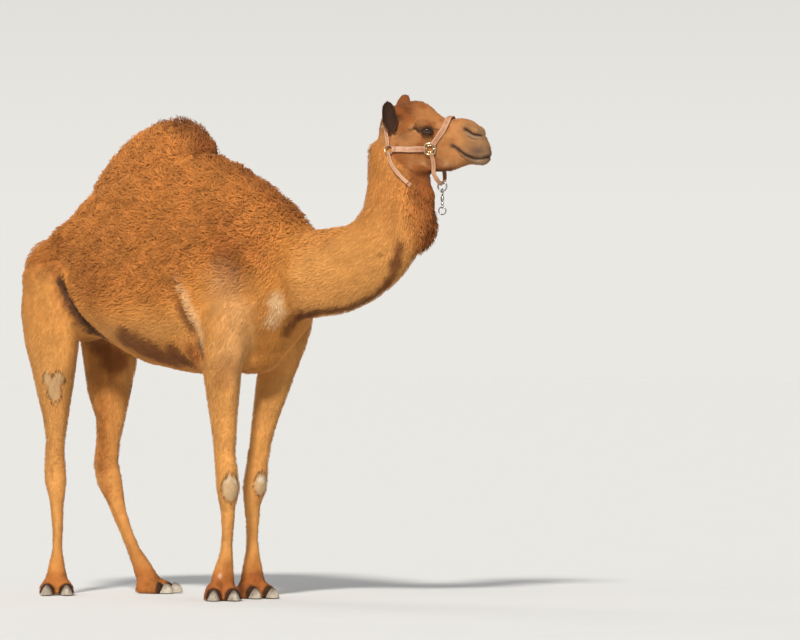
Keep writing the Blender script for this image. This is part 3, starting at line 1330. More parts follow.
@dataclass
class Fleece:
    """The coat: solid tufts rooted in the skin, in pieces by the parts of the body."""

    skin: Skin
    material: Material
    keep_clear: list
    share: float = 1.0
    seed: int = 41
    clump: int = 12  # tufts whose tips lean together
    draw: float = 0.03  # how far a tip may be drawn
    limit: int = 190000

    def grow(self) -> None:
        """Plants every part's tufts and makes the pieces."""
        rng = np.random.default_rng(self.seed)
        roots = self.plant(rng)
        region = roots.shares.argmax(axis=1)
        wool = woolliness(roots.place, roots.shares)
        long = (throat_share(roots.place, 0.108) > 0.45) & (region == NECK)
        curly = (wool > rng.uniform(0.15, 0.8, len(wool))) & ~long & (region != HEAD)
        sleek = ~curly & ~long
        body = np.isin(region, [TRUNK, HUMP])
        legs = np.isin(region, LEG_REGIONS)
        head = np.isin(region, [HEAD, EAR, EAR_INSIDE])
        fore = roots.place[:, 0] > 0
        groups = {
            "coat_body_wool": (body & curly, CURL),
            "coat_body_sleek": (body & ~curly, SLEEK),
            "coat_neck_wool": (curly & ~body & ~legs, CURL),
            "coat_throat": (long, LOCK),
            "coat_neck_sleek": ((region == NECK) & sleek, SLEEK),
            "coat_head": (head & ~curly, SLEEK),
            "coat_legs_fore": (legs & fore & sleek, SLEEK),
            "coat_legs_hind": (legs & ~fore & sleek, SLEEK),
            "coat_elbows": (legs & curly, CURL),
            "coat_tail": ((region == TAIL) & sleek, SLEEK),
        }
        for name, (which, form) in groups.items():
            index = np.flatnonzero(which)
            count = max(1, math.ceil(len(index) * len(form.faces()) / self.limit))
            index = index[np.argsort(roots.place[index, 0], kind="stable")]
            for number, part in enumerate(np.array_split(index, count), 1):
                if len(part):
                    label = name if count == 1 else f"{name}_{number}"
                    self.comb(label, roots.chosen(part), form, rng)

    def plant(self, rng: np.random.Generator) -> Roots:
        """Scatters roots over the skin, as thick as the coats' numbers say.

        Triangles are taken at even, jittered steps of the running sum of area times number, and a
        root falls at a random place of its triangle.

        Args:
            rng: The random numbers.

        Returns:
            The roots.
        """
        skin = self.skin
        a, b, c = (skin.places[skin.faces[:, k]] for k in range(3))
        area = 0.5 * lengths(np.cross(b - a, c - a))
        number = skin.shares @ coat_values("number")
        muzzle = ramp(to_head(skin.places)[:, 0], 0.3, 0.4)
        number *= 1.0 + 0.8 * muzzle * skin.share(HEAD)
        number *= 1.0 + 0.9 * skin.share(TAIL) * fall(skin.places[:, 2], 0.98, 1.08)
        number *= 1.0 - 0.88 * fall(pad_distance(skin.places), 0.8, 1.05)
        number *= np.where(skin.places[:, 2] < 0.01, 0.0, 1.0)
        number *= 1.0 - 0.85 * bell(BODY_RELIEFS[0].distance(skin.places), 0.018)
        run = np.cumsum(area * number[skin.faces].mean(axis=1) * self.share)
        count = int(run[-1])
        picks = np.searchsorted(run, (np.arange(count) + rng.random(count)) / count * run[-1])
        picks = np.minimum(picks, len(run) - 1)
        first, second = rng.random(count), rng.random(count)
        over = first + second > 1.0
        first[over], second[over] = 1.0 - first[over], 1.0 - second[over]
        mix = np.column_stack([1.0 - first - second, first, second])
        corners = skin.faces[picks]

        def blend(values: Array) -> Array:
            """Values at the corners mixed for each root."""
            return (values[corners] * (mix if values.ndim == 1 else mix[:, :, None])).sum(axis=1)

        place, normal, shares = blend(skin.places), unit(blend(skin.normals)), blend(skin.shares)
        keep = self.clear(place)
        roots = Roots(place, normal, lie_of_coat(place, normal, shares), shares, blend(skin.room))
        LOG.info("roots planted: %d", keep.sum())
        return roots.chosen(keep)

    def clear(self, place: Array) -> Array:
        """Whether each root keeps clear of the eyes, the nails and the halter."""
        keep = nail_distance(place) > 0.9
        for side in SIDES:
            local, reach, edge = Lids(side).look(place)
            keep &= ~((reach < 0.05) & (local[:, 2] > 0) & (edge < 0.0042))
        for path, width in self.keep_clear:
            keep &= near_path(place, path)[0] > width
        return keep

    def comb(self, name: str, roots: Roots, form: TuftForm, rng: np.random.Generator) -> None:
        """Makes one piece of the coat.

        A tuft's middle line leaves the root along the lie of the coat, rises by the coat's room as
        1 − (1 − f)², leans to the middle of its clump by f², and curls by a circle that widens
        along it. Rings of three stand round the line.

        Args:
            name: The piece's name.
            roots: Its tufts' roots.
            form: The make of its tufts.
            rng: The random numbers.
        """
        count = len(roots.place)
        length, width = (roots.shares @ coat_values(key) for key in ("length", "width"))
        wool = woolliness(roots.place, roots.shares)
        head, on_head = to_head(roots.place), roots.shares[:, HEAD]
        face = ramp(head[:, 0], 0.22, 0.4) * on_head
        length *= (1.0 + 0.45 * wool) * (1.0 - 0.45 * face)
        width *= 1.0 - 0.35 * face
        crown = fall(head[:, 0], 0.1, 0.16) * ramp(head[:, 2], 2.03, 2.07)
        length *= 1.0 + 1.3 * crown * on_head
        tuft = fall(roots.place[:, 2], 0.98, 1.06) * roots.shares[:, TAIL]
        length *= 1.0 + 1.2 * tuft
        if form is LOCK:
            length = 0.058 + 0.022 * rng.random(count)
            width = np.full(count, 0.0062)
        length = length * rng.uniform(0.75, 1.2, count)
        width = width * rng.uniform(0.75, 1.25, count)
        curl = wool if form is not SLEEK else np.zeros(count)
        swirl = 1.25 * drift(roots.place, 0.034, 11) * curl + 0.1 * drift(roots.place, 0.09, 12)
        swirl += rng.normal(0.0, 1.0, count) * (0.1 + 0.32 * curl)
        if form is LOCK:
            swirl *= 0.45
        side = np.cross(roots.normal, roots.way)
        way = roots.way * np.cos(swirl)[:, None] + side * np.sin(swirl)[:, None]
        side = np.cross(roots.normal, way)
        woolly_rise, sleek_rise = rng.uniform(0.6, 1.02, count), rng.uniform(0.5, 0.9, count)
        rise = roots.room * np.where(curl > 0.3, woolly_rise, sleek_rise)
        rise = np.minimum(rise, 0.85 * length)
        lean = self.clump_lean(roots, curl, rng)
        phase = rng.uniform(0, TAU, count) * 0.35 + np.pi * drift(roots.place, 0.05, 14)
        turns = rng.uniform(0.7, 1.15, count)
        sink = np.minimum(0.0022, 0.4 * roots.room)

        def line(f: float) -> Array:
            """The middle line's places at a share f of the tufts' lengths."""
            wave = TAU * turns * f + phase
            size = 0.2 * length * curl * math.sin(math.pi * min(f * 0.75, 0.5))
            if form is LOCK:
                size = 0.12 * length * f
            ahead = length * (f - 0.22 * curl * f * f)
            up = rise * (1.0 - (1.0 - f) ** 2) - sink * (1.0 - f) ** 3
            across = (np.cos(wave) - np.cos(phase)) * size
            bob = (np.sin(wave) - np.sin(phase)) * size * 0.45
            return (
                roots.place + way * ahead[:, None] + roots.normal * (up + bob)[:, None]
                + side * across[:, None] + lean * (f * f)
            )

        lines = [line(f) for f in (0.0, *form.stands, 1.0)]
        rows = [lines[0][:, None, :]]
        flat = 0.55 if form is not SLEEK else 0.34
        for level, girth in enumerate(form.girths, 1):
            ahead = unit(lines[level + 1] - lines[level - 1])
            across = unit(np.cross(roots.normal, ahead))
            above = np.cross(ahead, across)
            half = (0.5 * width * girth)[:, None]
            rows.append(np.stack([
                lines[level] - across * half, lines[level] + across * half,
                lines[level] + above * half * 2.0 * flat,
            ], axis=1))
        rows.append(lines[-1][:, None, :])
        places = np.concatenate(rows, axis=1)
        each = places.shape[1]
        faces = (form.faces()[None] + np.arange(count)[:, None, None] * each).reshape(-1, 3)
        places = places.reshape(-1, 3)
        faces = outward(places, faces)
        places = self.within(places)
        along = np.concatenate([[0.0], np.repeat(form.stands, 3), [1.0]])
        spread = np.concatenate([[0.0], np.tile([-0.5, 0.5, 0.0], len(form.stands)), [0.0]])
        shade = shade_of(roots.place, roots.shares) * rng.uniform(0.93, 1.07, count)[:, None]
        shade *= 1.0 + 0.09 * curl[:, None] * rng.normal(0.0, 1.0, count)[:, None]
        light = (0.9 - 0.24 * curl)[:, None] + (0.13 + 0.26 * curl)[:, None] * along
        tint = np.clip(shade[:, None, :] * light[:, :, None], 0.003, 0.97).reshape(-1, 3)
        patch = 0.003 * np.column_stack([spread, along - 0.5])
        atlas = unwrap(roots.place, roots.shares.argmax(axis=1))
        uv = (atlas[:, None, :] + patch[None]).reshape(-1, 2)
        own = (0.35 + 0.75 * np.repeat(curl, each))[:, None] * vertex_normals(places, faces)
        smooth = unit(np.repeat(roots.normal, each, axis=0) + own)
        make_piece(name, (places, faces), self.material, {"tint": tint}, uv[faces.ravel()], smooth)

    def clump_lean(self, roots: Roots, curl: Array, rng: np.random.Generator) -> Array:
        """The vector by which each tuft's tip leans to the middle of its clump."""
        count = len(roots.place)
        middles = rng.choice(count, max(1, count // self.clump), replace=False)
        tree = KDTree(len(middles))
        for number, spot in enumerate(roots.place[middles].tolist()):
            tree.insert(spot, number)
        tree.balance()
        nearest = np.array([tree.find(spot)[1] for spot in roots.place.tolist()])
        toward = roots.place[middles[nearest]] - roots.place
        reach = lengths(toward)[:, None]
        toward *= np.minimum(1.0, self.draw / np.maximum(reach, 1e-6))
        return toward * (0.3 + 0.35 * curl)[:, None]

    def within(self, places: Array) -> Array:
        """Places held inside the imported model's own box and a hair above the floor."""
        low, high = (np.array(corner) - OFFSET for corner in CAD_BOX)
        low[2] = 0.0008
        return np.clip(places, low, high)


class Wiring:
    """A tree of shader nodes: they are added by type and joined as they are."""

    def __init__(self, tree: bpy.types.NodeTree) -> None:
        """Takes the tree that nodes are added to."""
        self.tree = tree

    def add(self, kind: str, settings: dict | None = None, **feeds: Feed) -> bpy.types.Node:
        """Adds a node.

        Args:
            kind: Its type's name after ShaderNode.
            settings: Its properties.
            feeds: Values or output sockets, for inputs by name with underlines for spaces, or by
                number as in0, in1 ….

        Returns:
            The node.
        """
        node = self.tree.nodes.new("ShaderNode" + kind)
        for key, value in (settings or {}).items():
            setattr(node, key, value)
        self.feed(node, **feeds)
        return node

    def feed(self, node: bpy.types.Node, **feeds: Feed) -> None:
        """Sets a node's inputs to values, or joins outputs to them."""
        for key, value in feeds.items():
            numbered = key.startswith("in") and key[2:].isdigit()
            socket = node.inputs[int(key[2:]) if numbered else key.replace("_", " ")]
            if isinstance(value, Socket):
                self.tree.links.new(value, socket)
            else:
                socket.default_value = value

    def math(self, operation: str, first: Feed, second: Feed, clamp: bool = False) -> Socket:
        """An operation on two numbers or sockets."""
        settings = {"operation": operation, "use_clamp": clamp}
        return self.add("Math", settings, in0=first, in1=second).outputs[0]


def set_stops(band: bpy.types.ColorRamp, stops: tuple) -> None:
    """Sets a colour ramp's stops: its own two first, then new ones."""
    for number, (position, colour) in enumerate(stops):
        stop = band.elements[number] if number < 2 else band.elements.new(position)
        stop.position, stop.color = position, (*colour, 1.0)


class Recipe(Wiring):
    """A material being mixed."""

    def __init__(self, name: str, metallic: float = 0.0, roughness: float = 0.6) -> None:
        """Starts a material with its Principled shader's metallic value and roughness."""
        self.material = bpy.data.materials.new(name)
        self.material.use_nodes = True
        super().__init__(self.material.node_tree)
        self.shader = self.tree.nodes["Principled BSDF"]
        self.feed(self.shader, Metallic=metallic, Roughness=roughness)
        self.place = self.add("TexCoord").outputs["Object"]

    def attribute(self, name: str, output: str = "Fac") -> Socket:
        """An attribute of the piece."""
        return self.add("Attribute", {"attribute_name": name}).outputs[output]

    def ranged(self, value: Socket, **limits: float) -> Socket:
        """A number taken from one range to another."""
        return self.add("MapRange", Value=value, **limits).outputs[0]

    def mixed(self, share: Feed, first: Feed, second: Feed) -> Socket:
        """Two colours mixed by a share."""
        node = self.add("Mix", {"data_type": "RGBA"}, in0=share, in6=first, in7=second)
        return node.outputs[2]

    def scaled(self, colour: Socket, factor: Socket) -> Socket:
        """A colour times a number."""
        return self.add("VectorMath", {"operation": "SCALE"}, in0=colour, Scale=factor).outputs[0]

    def effect(self, group: bpy.types.NodeTree, **feeds: Feed) -> tuple[Socket, Socket]:
        """A shared effect's two outputs on object coordinates, with this material's values."""
        return tuple(self.add("Group", {"node_tree": group}, Vector=self.place, **feeds).outputs)

    def finish(self, **feeds: Feed) -> Material:
        """Sets the shader's own inputs and gives the material back."""
        self.feed(self.shader, **feeds)
        return self.material

    def bump(self, height: Socket, distance: float, strength: float = 1.0) -> None:
        """Feeds the shader's normal from a height."""
        node = self.add("Bump", Height=height, Distance=distance, Strength=strength)
        self.feed(self.shader, Normal=node.outputs[0])


class Effects:
    """Node groups that several materials use."""

    def __init__(self) -> None:
        """Builds each group once."""
        self.fleck = self.group(
            "fleck", self.fill_fleck, {"Scale": 60.0, "Depth": 0.2}, ("Shade", "Height"))
        self.wear = self.group(
            "wear", self.fill_wear, {"Scale": 90.0, "Amount": 0.5, "Edge": 0.0}, ("Mask", "Height"))

    def group(self, name: str, fill: Callable, numbers: dict, outs: tuple) -> bpy.types.NodeTree:
        """A node group with a Vector input, number inputs and number outputs."""
        tree = bpy.data.node_groups.new(name, "ShaderNodeTree")
        tree.interface.new_socket("Vector", in_out="INPUT", socket_type="NodeSocketVector")
        for key, value in numbers.items():
            socket = tree.interface.new_socket(key, in_out="INPUT", socket_type="NodeSocketFloat")
            socket.default_value = value
        for key in outs:
            tree.interface.new_socket(key, in_out="OUTPUT", socket_type="NodeSocketFloat")
        source, sink = tree.nodes.new("NodeGroupInput"), tree.nodes.new("NodeGroupOutput")
        for value, socket in zip(fill(Wiring(tree), source.outputs), sink.inputs):
            tree.links.new(value, socket)
        return tree

    def noise(self, wires: Wiring, source: Sockets, detail: float, roughness: float) -> Socket:
        """A noise texture's value inside a group."""
        return wires.add(
            "TexNoise", Vector=source["Vector"], Scale=source["Scale"], Detail=detail,
            Roughness=roughness,
        ).outputs[0]

    def fill_fleck(self, wires: Wiring, source: Sockets) -> tuple[Socket, Socket]:
        """Fine light and dark flecks: Shade = 1 + Depth · 2 (noise − ½), Height = noise."""
        value = self.noise(wires, source, 3.0, 0.6)
        swing = wires.math("MULTIPLY", wires.math("SUBTRACT", value, 0.5), 2.0)
        return wires.math("ADD", wires.math("MULTIPLY", swing, source["Depth"]), 1.0), value

    def fill_wear(self, wires: Wiring, source: Sockets) -> tuple[Socket, Socket]:
        """Patchy wear, more by edges: Mask = (noise + Edge − 1 + Amount) · 3, clamped."""
        value = self.noise(wires, source, 5.0, 0.65)
        both = wires.math("ADD", value, wires.math("MULTIPLY", source["Edge"], 0.45))
        lifted = wires.math("ADD", wires.math("SUBTRACT", both, 1.0), source["Amount"])
        return wires.math("MULTIPLY", lifted, 3.0, clamp=True), value


@dataclass(frozen=True)
class HairFinish:
    """Hide or hair: the coat's colour from the tint attribute, flecked, with a soft sheen."""

    name: str
    roughness: float
    fleck_scale: float
    fleck_depth: float
    relief: float
    sheen: float

    def mix(self, effects: Effects) -> Material:
        """The material."""
        recipe = Recipe(self.name, roughness=self.roughness)
        shade, height = recipe.effect(effects.fleck, Scale=self.fleck_scale, Depth=self.fleck_depth)
        recipe.bump(height, self.relief)
        return recipe.finish(
            Base_Color=recipe.scaled(recipe.attribute("tint", "Color"), shade),
            Specular_IOR_Level=0.1, Sheen_Weight=self.sheen, Sheen_Roughness=0.5,
        )


@dataclass(frozen=True)
class LeatherFinish:
    """Bridle leather: pebbled grain, darker edges, scuffs that show paler leather."""

    name: str = "bridle_leather"
    face: tuple = (0.36, 0.15, 0.07, 1.0)
    worn: tuple = (0.46, 0.24, 0.13, 1.0)
    edge: tuple = (0.14, 0.052, 0.026, 1.0)

    def mix(self, effects: Effects) -> Material:
        """The material."""
        recipe = Recipe(self.name)
        border = recipe.attribute("edge")
        wear, _ = recipe.effect(effects.wear, Scale=70.0, Amount=0.52, Edge=border)
        shade, _ = recipe.effect(effects.fleck, Scale=240.0, Depth=0.14)
        cells = {"feature": "DISTANCE_TO_EDGE"}
        pebble = recipe.add("TexVoronoi", cells, Vector=recipe.place, Scale=900.0)
        colour = recipe.mixed(wear, self.face, self.worn)
        rim = recipe.ranged(border, From_Min=0.8, From_Max=1.0)
        recipe.bump(pebble.outputs["Distance"], 0.00035, 0.8)
        return recipe.finish(
            Base_Color=recipe.scaled(recipe.mixed(rim, colour, self.edge), shade),
            Roughness=recipe.ranged(wear, To_Min=0.42, To_Max=0.72),
            Coat_Weight=0.12, Coat_Roughness=0.35,
        )


@dataclass(frozen=True)
class MetalFinish:
    """Halter metal: brushed, dulled and tarnished in patches."""

    name: str
    bright: tuple
    dull: tuple

    def mix(self, effects: Effects) -> Material:
        """The material."""
        recipe = Recipe(self.name, metallic=1.0)
        wear, _ = recipe.effect(effects.wear, Scale=160.0, Amount=0.5, Edge=0.0)
        shade, height = recipe.effect(effects.fleck, Scale=900.0, Depth=0.06)
        recipe.bump(height, 0.00008, 0.6)
        return recipe.finish(
            Base_Color=recipe.scaled(recipe.mixed(wear, self.bright, self.dull), shade),
            Roughness=recipe.ranged(wear, To_Min=0.24, To_Max=0.55),
        )


@dataclass(frozen=True)
class EyeFinish:
    """A wet dark eye: pupil, brown iris and dark white by the iris attribute."""

    name: str = "eye_wet"

    def mix(self, effects: Effects) -> Material:
        """The material."""
        recipe = Recipe(self.name, roughness=0.12)
        iris = recipe.add("ValToRGB", Fac=recipe.attribute("iris"))
        set_stops(iris.color_ramp, (
            (0.2, (0.002, 0.0015, 0.001)), (0.27, (0.034, 0.014, 0.005)),
            (0.46, (0.075, 0.03, 0.01)), (0.56, (0.012, 0.006, 0.004)),
            (0.66, (0.045, 0.024, 0.016)), (0.9, (0.09, 0.05, 0.034)),
        ))
        shade, _ = recipe.effect(effects.fleck, Scale=520.0, Depth=0.35)
        return recipe.finish(
            Base_Color=recipe.scaled(iris.outputs[0], shade),
            Coat_Weight=0.55, Coat_Roughness=0.03, Specular_IOR_Level=0.25,
        )


@dataclass(frozen=True)
class HornFinish:
    """Nail horn: pale grey-brown, growth rings across it, dusty and darker at the root."""

    name: str = "nail_horn"
    pale: tuple = (0.42, 0.36, 0.28, 1.0)
    dark: tuple = (0.1, 0.075, 0.055, 1.0)

    def mix(self, effects: Effects) -> Material:
        """The material."""
        recipe = Recipe(self.name)
        wear, _ = recipe.effect(effects.wear, Scale=46.0, Amount=0.55, Edge=0.0)
        bands = recipe.add(
            "TexWave", {"bands_direction": "Z"}, Vector=recipe.place, Scale=75.0, Distortion=2.5)
        high = recipe.add("SeparateXYZ", Vector=recipe.place).outputs["Z"]
        root = recipe.ranged(high, From_Min=0.026, From_Max=0.046)
        colour = recipe.mixed(root, recipe.mixed(wear, self.pale, self.dark), self.dark)
        recipe.bump(bands.outputs["Fac"], 0.0006, 0.7)
        return recipe.finish(Base_Color=colour, Roughness=0.48)


@dataclass(frozen=True)
class PlainFinish:
    """A finish of one colour, gently flecked, such as thread or the studio floor."""

    name: str
    colour: tuple
    roughness: float
    scale: float
    depth: float

    def mix(self, effects: Effects) -> Material:
        """The material."""
        recipe = Recipe(self.name, roughness=self.roughness)
        shade, _ = recipe.effect(effects.fleck, Scale=self.scale, Depth=self.depth)
        paint = recipe.mixed(0.0, self.colour, self.colour)
        return recipe.finish(Base_Color=recipe.scaled(paint, shade), Specular_IOR_Level=0.3)


CHEEK_SPOT, CHEEK_RADIUS = (0.229, -0.088, 1.883), 0.0225
REAR_SPOT, REAR_RADIUS = (0.06, -0.12, 1.883), 0.018
HOOK_RING_HEIGHT = 1.6296
RING_CLEARINGS = ((CHEEK_SPOT, 0.024), (REAR_SPOT, 0.034))  # with how near hair may come
RING_INSET = 0.0045  # from a ring's radius in to where a band's leather turns
BROAD, NARROW, CHIN_WIDTH = 0.026, 0.017, 0.018  # the bands' widths
# The snap hook's barrel in millimetres: radius, and height over its top.
SNAP_BARREL = (
    (1.4, 3.2), (4.8, 1.6), (6.6, -1.0), (7.8, -4.0), (7.8, -7.0), (6.9, -7.8), (6.9, -9.2),
    (7.8, -10.0), (7.8, -14.8), (5.6, -17.0), (4.8, -20.0), (5.0, -27.0), (6.2, -29.0),
    (6.2, -34.5), (3.6, -36.8), (1.4, -38.0),
)


class RingMake(Enum):
    """The rings of the halter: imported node, and its radius."""

    CHEEK_RIGHT = ("cheek_ring_right", CHEEK_RADIUS)
    CHEEK_LEFT = ("cheek_ring_left", CHEEK_RADIUS)
    REAR_RIGHT = ("rear_ring_right", REAR_RADIUS)
    REAR_LEFT = ("rear_ring_left", REAR_RADIUS)
    CHIN = ("chin_ring", 0.019)
    HOOK = ("hook_ring", 0.0157)


@dataclass(frozen=True)
class Route:
    """A band's way on the right side from a ring: along, left, up, and how it hugs the coat."""

    ring: tuple
    radius: float
    guides: tuple
    width: float

    def whole(self) -> Array:
        """The guides of both sides: out of the right ring, over the head, into the left one."""
        centre, first = np.array(self.ring), np.array(self.guides[0])
        start = centre + unit(first[:3] - centre) * (self.radius - RING_INSET)
        right = np.vstack([[*start, first[3]], self.guides])
        return np.vstack([right, right[::-1] * (1.0, -1.0, 1.0, 1.0)])


ROUTES = {
    "noseband": Route(CHEEK_SPOT, CHEEK_RADIUS, (
        (0.248, -0.082, 1.914, 1), (0.266, -0.076, 1.942, 1), (0.28, -0.066, 1.97, 1),
        (0.289, -0.05, 1.996, 1), (0.292, -0.026, 2.017, 1)), BROAD),
    "crown_strap": Route(REAR_SPOT, REAR_RADIUS, (
        (0.052, -0.098, 1.914, 1), (0.04, -0.094, 1.955, 1), (0.022, -0.08, 2.005, 1),
        (0.01, -0.048, 2.045, 1)), NARROW),
    "throat_strap": Route(REAR_SPOT, REAR_RADIUS, (
        (0.06, -0.105, 1.842, 1), (0.083, -0.11, 1.803, 1), (0.117, -0.11, 1.763, 1),
        (0.152, -0.105, 1.718, 1), (0.188, -0.085, 1.692, 1), (0.216, -0.045, 1.684, 1)), NARROW),
    "chin_strap": Route(CHEEK_SPOT, CHEEK_RADIUS, (
        (0.234, -0.084, 1.85, 1), (0.24, -0.08, 1.822, 1), (0.247, -0.066, 1.785, 0.3),
        (0.252, -0.04, 1.747, 0), (0.254, -0.014, 1.734, 0)), CHIN_WIDTH),
}


@dataclass
class Halter:
    """The leather halter: bands with stitched edges, rings, a buckle and a snap hook."""

    leather: Material
    thread: Material
    steel: Material
    brass: Material
    skin: Skin
    thick: float = 0.0042
    folded: float = 0.011
    wire: float = 0.0034
    lift: float = 0.006  # from the hair tips to the middle of the leather
    ring_lift: float = 0.0078
    sunk: float = 0.026  # how deep the throat band goes into the wool in front
    points: int = 64  # of a band's line
    paths: dict = field(default_factory=dict)
    hide: BVHTree | None = None  # the skin, as the bands feel for it

    def on_coat(self, place: Array, lift: float) -> Arrays:
        """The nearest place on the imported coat, lifted off it and off the hide, and the way out."""
        spot, normal, _, _ = self.skin.outline.find_nearest(Vector(place))
        hit, face, _, depth = self.hide.ray_cast(spot, normal, 0.03)
        under = depth if hit is not None and face.dot(normal) > 0 else 0.0
        return np.array(spot + normal * (lift + under)), np.array(normal)

    def hug(self, guides: Array, steps: int) -> Arrays:
        """A band's line and normals: a curve through the guides, drawn on to the coat and eased.

        Args:
            guides: Head places, with how closely each hugs the coat.
            steps: Points to a span between guides.

        Returns:
            The band's points and unit vectors out of the coat.
        """
        run = through(guides, steps * (len(guides) - 1) + 1)
        length = run_along(run[:, :3])
        to_end = np.minimum(length, length[-1] - length)
        lifts = self.lift + (self.ring_lift - self.lift) * np.exp(-to_end / 0.02)
        hugs = np.clip(run[:, 3:], 0.0, 1.0)
        path = from_head(run[:, :3])
        smooth = self.skin.smooth_normals(path)
        for rounds in (2, 2, 0):
            held = np.array([self.on_coat(spot, lift)[0] for spot, lift in zip(path, lifts)])
            path = path + (held - path) * hugs
            ease(path, rounds)
        rows = through(np.hstack([path, smooth]), self.points)
        return rows[:, :3], unit(rows[:, 3:])

    def lay(self) -> "Halter":
        """Finds every band's line on the coat."""
        self.hide = BVHTree.FromPolygons(self.skin.places.tolist(), self.skin.faces.tolist())
        for name, route in ROUTES.items():
            line, out = self.hug(route.whole(), 2)
            if name == "chin_strap":
                ease(line, 24)
            if name == "throat_strap":
                line = line - out * (self.sunk * ramp(to_head(line)[:, 0], 0.155, 0.2))[:, None]
            self.paths[name] = (line, out, route.width)
        ends = np.array((
            (CHEEK_SPOT[0] - CHEEK_RADIUS + RING_INSET, *CHEEK_SPOT[1:], 1),
            (0.172, -0.1, 1.883, 1), (0.116, -0.102, 1.882, 1),
            (REAR_SPOT[0] + REAR_RADIUS - RING_INSET, *REAR_SPOT[1:], 1),
        ))
        for side, label in ((1.0, "right"), (-1.0, "left")):
            line, out = self.hug(ends * (1.0, side, 1.0, 1.0), 4)
            self.paths[f"cheek_strap_{label}"] = (line, out, BROAD)
        return self

    def clearings(self) -> list[tuple[Array, float]]:
        """Where no hair may be rooted: under the bands and behind the rings.

        Returns:
            Paths, each with how near to it is too near.
        """
        clear = []
        for name, (line, _, width) in self.paths.items():
            if name != "throat_strap":
                clear.append((line[::4], 0.5 * width + 0.001))
        line, _, width = self.paths["throat_strap"]
        clear += [(part, 0.5 * width + 0.001) for part in (line[:20:2], line[44::2])]
        for (along, left, up), reach in RING_CLEARINGS:
            for side in (1.0, -1.0):
                middle, _ = self.on_coat(from_head(np.array([along, left * side, up])), 0.0)
                clear.append((np.array([middle, middle + (0.0, 0.0, 0.001)]), reach))
        return clear

    def frames(self, name: str) -> tuple[Array, Array, Array, Array]:
        """A band's middle line, unit vectors across and out of it, and the length run."""
        line, out, _ = self.paths[name]
        ahead = unit(np.gradient(line, axis=0))
        out = unit(out - ahead * (out * ahead).sum(axis=1)[:, None])
        return line, np.cross(ahead, out), out, run_along(line)

    def build(self) -> None:
        """Makes every piece of the halter."""
        for name in self.paths:
            self.band(name)
            self.stitches(name)
        for make in RingMake:
            self.ring(make)
        self.snap()
        self.buckle()

    def ring(self, make: RingMake) -> None:
        """One ring: the cheek's are rounded squares with a bar across, the others round.

        Args:
            make: Which ring.
        """
        name, radius = make.value
        hangs = make in (RingMake.CHIN, RingMake.HOOK)
        if hangs:
            height = CHIN_RING_SPOT[2] if make is RingMake.CHIN else HOOK_RING_HEIGHT
            centre, axis = from_head(np.array([*CHIN_RING_SPOT[:2], height])), HEAD_AXES[1]
        else:
            spot = np.array(CHEEK_SPOT if name.startswith("cheek") else REAR_SPOT)
            if name.endswith("left"):
                spot[1] *= -1.0
            centre, axis = self.on_coat(from_head(spot), self.ring_lift)
        wire = 0.0027 if make is RingMake.HOOK else self.wire
        square = name.startswith("cheek")
        ring = hoop(centre, axis, radius, wire, 64, squareness=4.0 if square else 2.0)
        if square:
            inner = hoop(centre - axis * 0.0012, axis, 0.6 * radius, 0.002, 48, squareness=4.0)
            up = unit(np.array([0.0, 0.0, 1.0]) - axis * axis[2])
            across = np.cross(axis, up)
            bars = [self.rod(centre + way * 0.55 * radius, centre + way * 1.04 * radius, 0.0022)
                    for way in (up, -up, across, -across)]
            ring = together([ring, inner, *bars])
        piece = make_piece(f"halter_{name}", ring, self.steel if hangs else self.brass)
        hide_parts(name)

    def rod(self, start: Array, end: Array, radius: float) -> Arrays:
        """A straight round bar: circles at six steps between two places."""
        way = unit(end - start)
        side = unit(np.cross(way, HEAD_AXES[1] + 0.3 * HEAD_AXES[2]))
        other = np.cross(way, side)
        turn = circle(10)[None, :, None]
        middle = start + (end - start) * np.linspace(0.0, 1.0, 6)[:, None]
        return tube(middle[:, None, :] + radius * (side * np.cos(turn) + other * np.sin(turn)))

    def band(self, name: str) -> None:
        """One band: a rounded section carried along its line.

        The section is w/2 · |cos|^0.35 across and t/2 · |sin|^0.75 out, crowned on its face, and t
        grows near both ends, where the leather is turned round a ring.

        Args:
            name: Which band.
        """
        line, across, out, run = self.frames(name)
        to_end = np.minimum(run, run[-1] - run)
        thick = self.thick + (self.folded - self.thick) * fall(to_end, 0.01, 0.017)
        roll = circle(20)
        wide, high = power(np.cos(roll), 0.35), power(np.sin(roll), 0.75)
        crown = 0.1 * (1.0 - wide**2)
        wave = 1.0 + 0.025 * np.sin(run * 95.0 + len(name))
        half = 0.5 * self.paths[name][2] * wave
        surface = tube(
            line[:, None, :] + across[:, None, :] * half[:, None, None] * wide[None, :, None]
            + out[:, None, :] * (0.5 * thick)[:, None, None] * (high + crown)[None, :, None]
        )
        edge = np.concatenate([np.tile(np.abs(wide), len(line)), [0.9, 0.9]])
        piece = make_piece(f"halter_{name}", surface, self.leather, {"edge": edge})
        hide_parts(name)

    def stitches(self, name: str) -> None:
        """Two rows of stitches on a band's face: spindles of four rings, 7.5 mm apart.

        Args:
            name: Which band.
        """
        line, across, out, run = self.frames(name)
        spots = np.arange(0.02, run[-1] - 0.02, 0.0075)
        parts, turn = [], circle(6)[None, :, None]
        for side in SIDES:
            rows = []
            for step, girth in ((-1.0, 0.25), (-0.45, 1.0), (0.45, 1.0), (1.0, 0.25)):
                where = spots + step * 0.0026
                middle, away, aside = (read(where, run, rows_of) for rows_of in (line, out, across))
                middle = middle + aside * side * 0.36 * self.paths[name][2]
                middle = middle + away * (0.5 * self.thick * 0.93 + 0.0003)
                rows.append(
                    middle[:, None, :] + aside[:, None, :] * np.cos(turn) * 0.00062 * girth
                    + away[:, None, :] * np.sin(turn) * 0.00055 * girth
                )
            parts += [tube(rings) for rings in np.stack(rows, axis=1)]
        piece = make_piece(f"stitching_{name}", together(parts), self.thread)

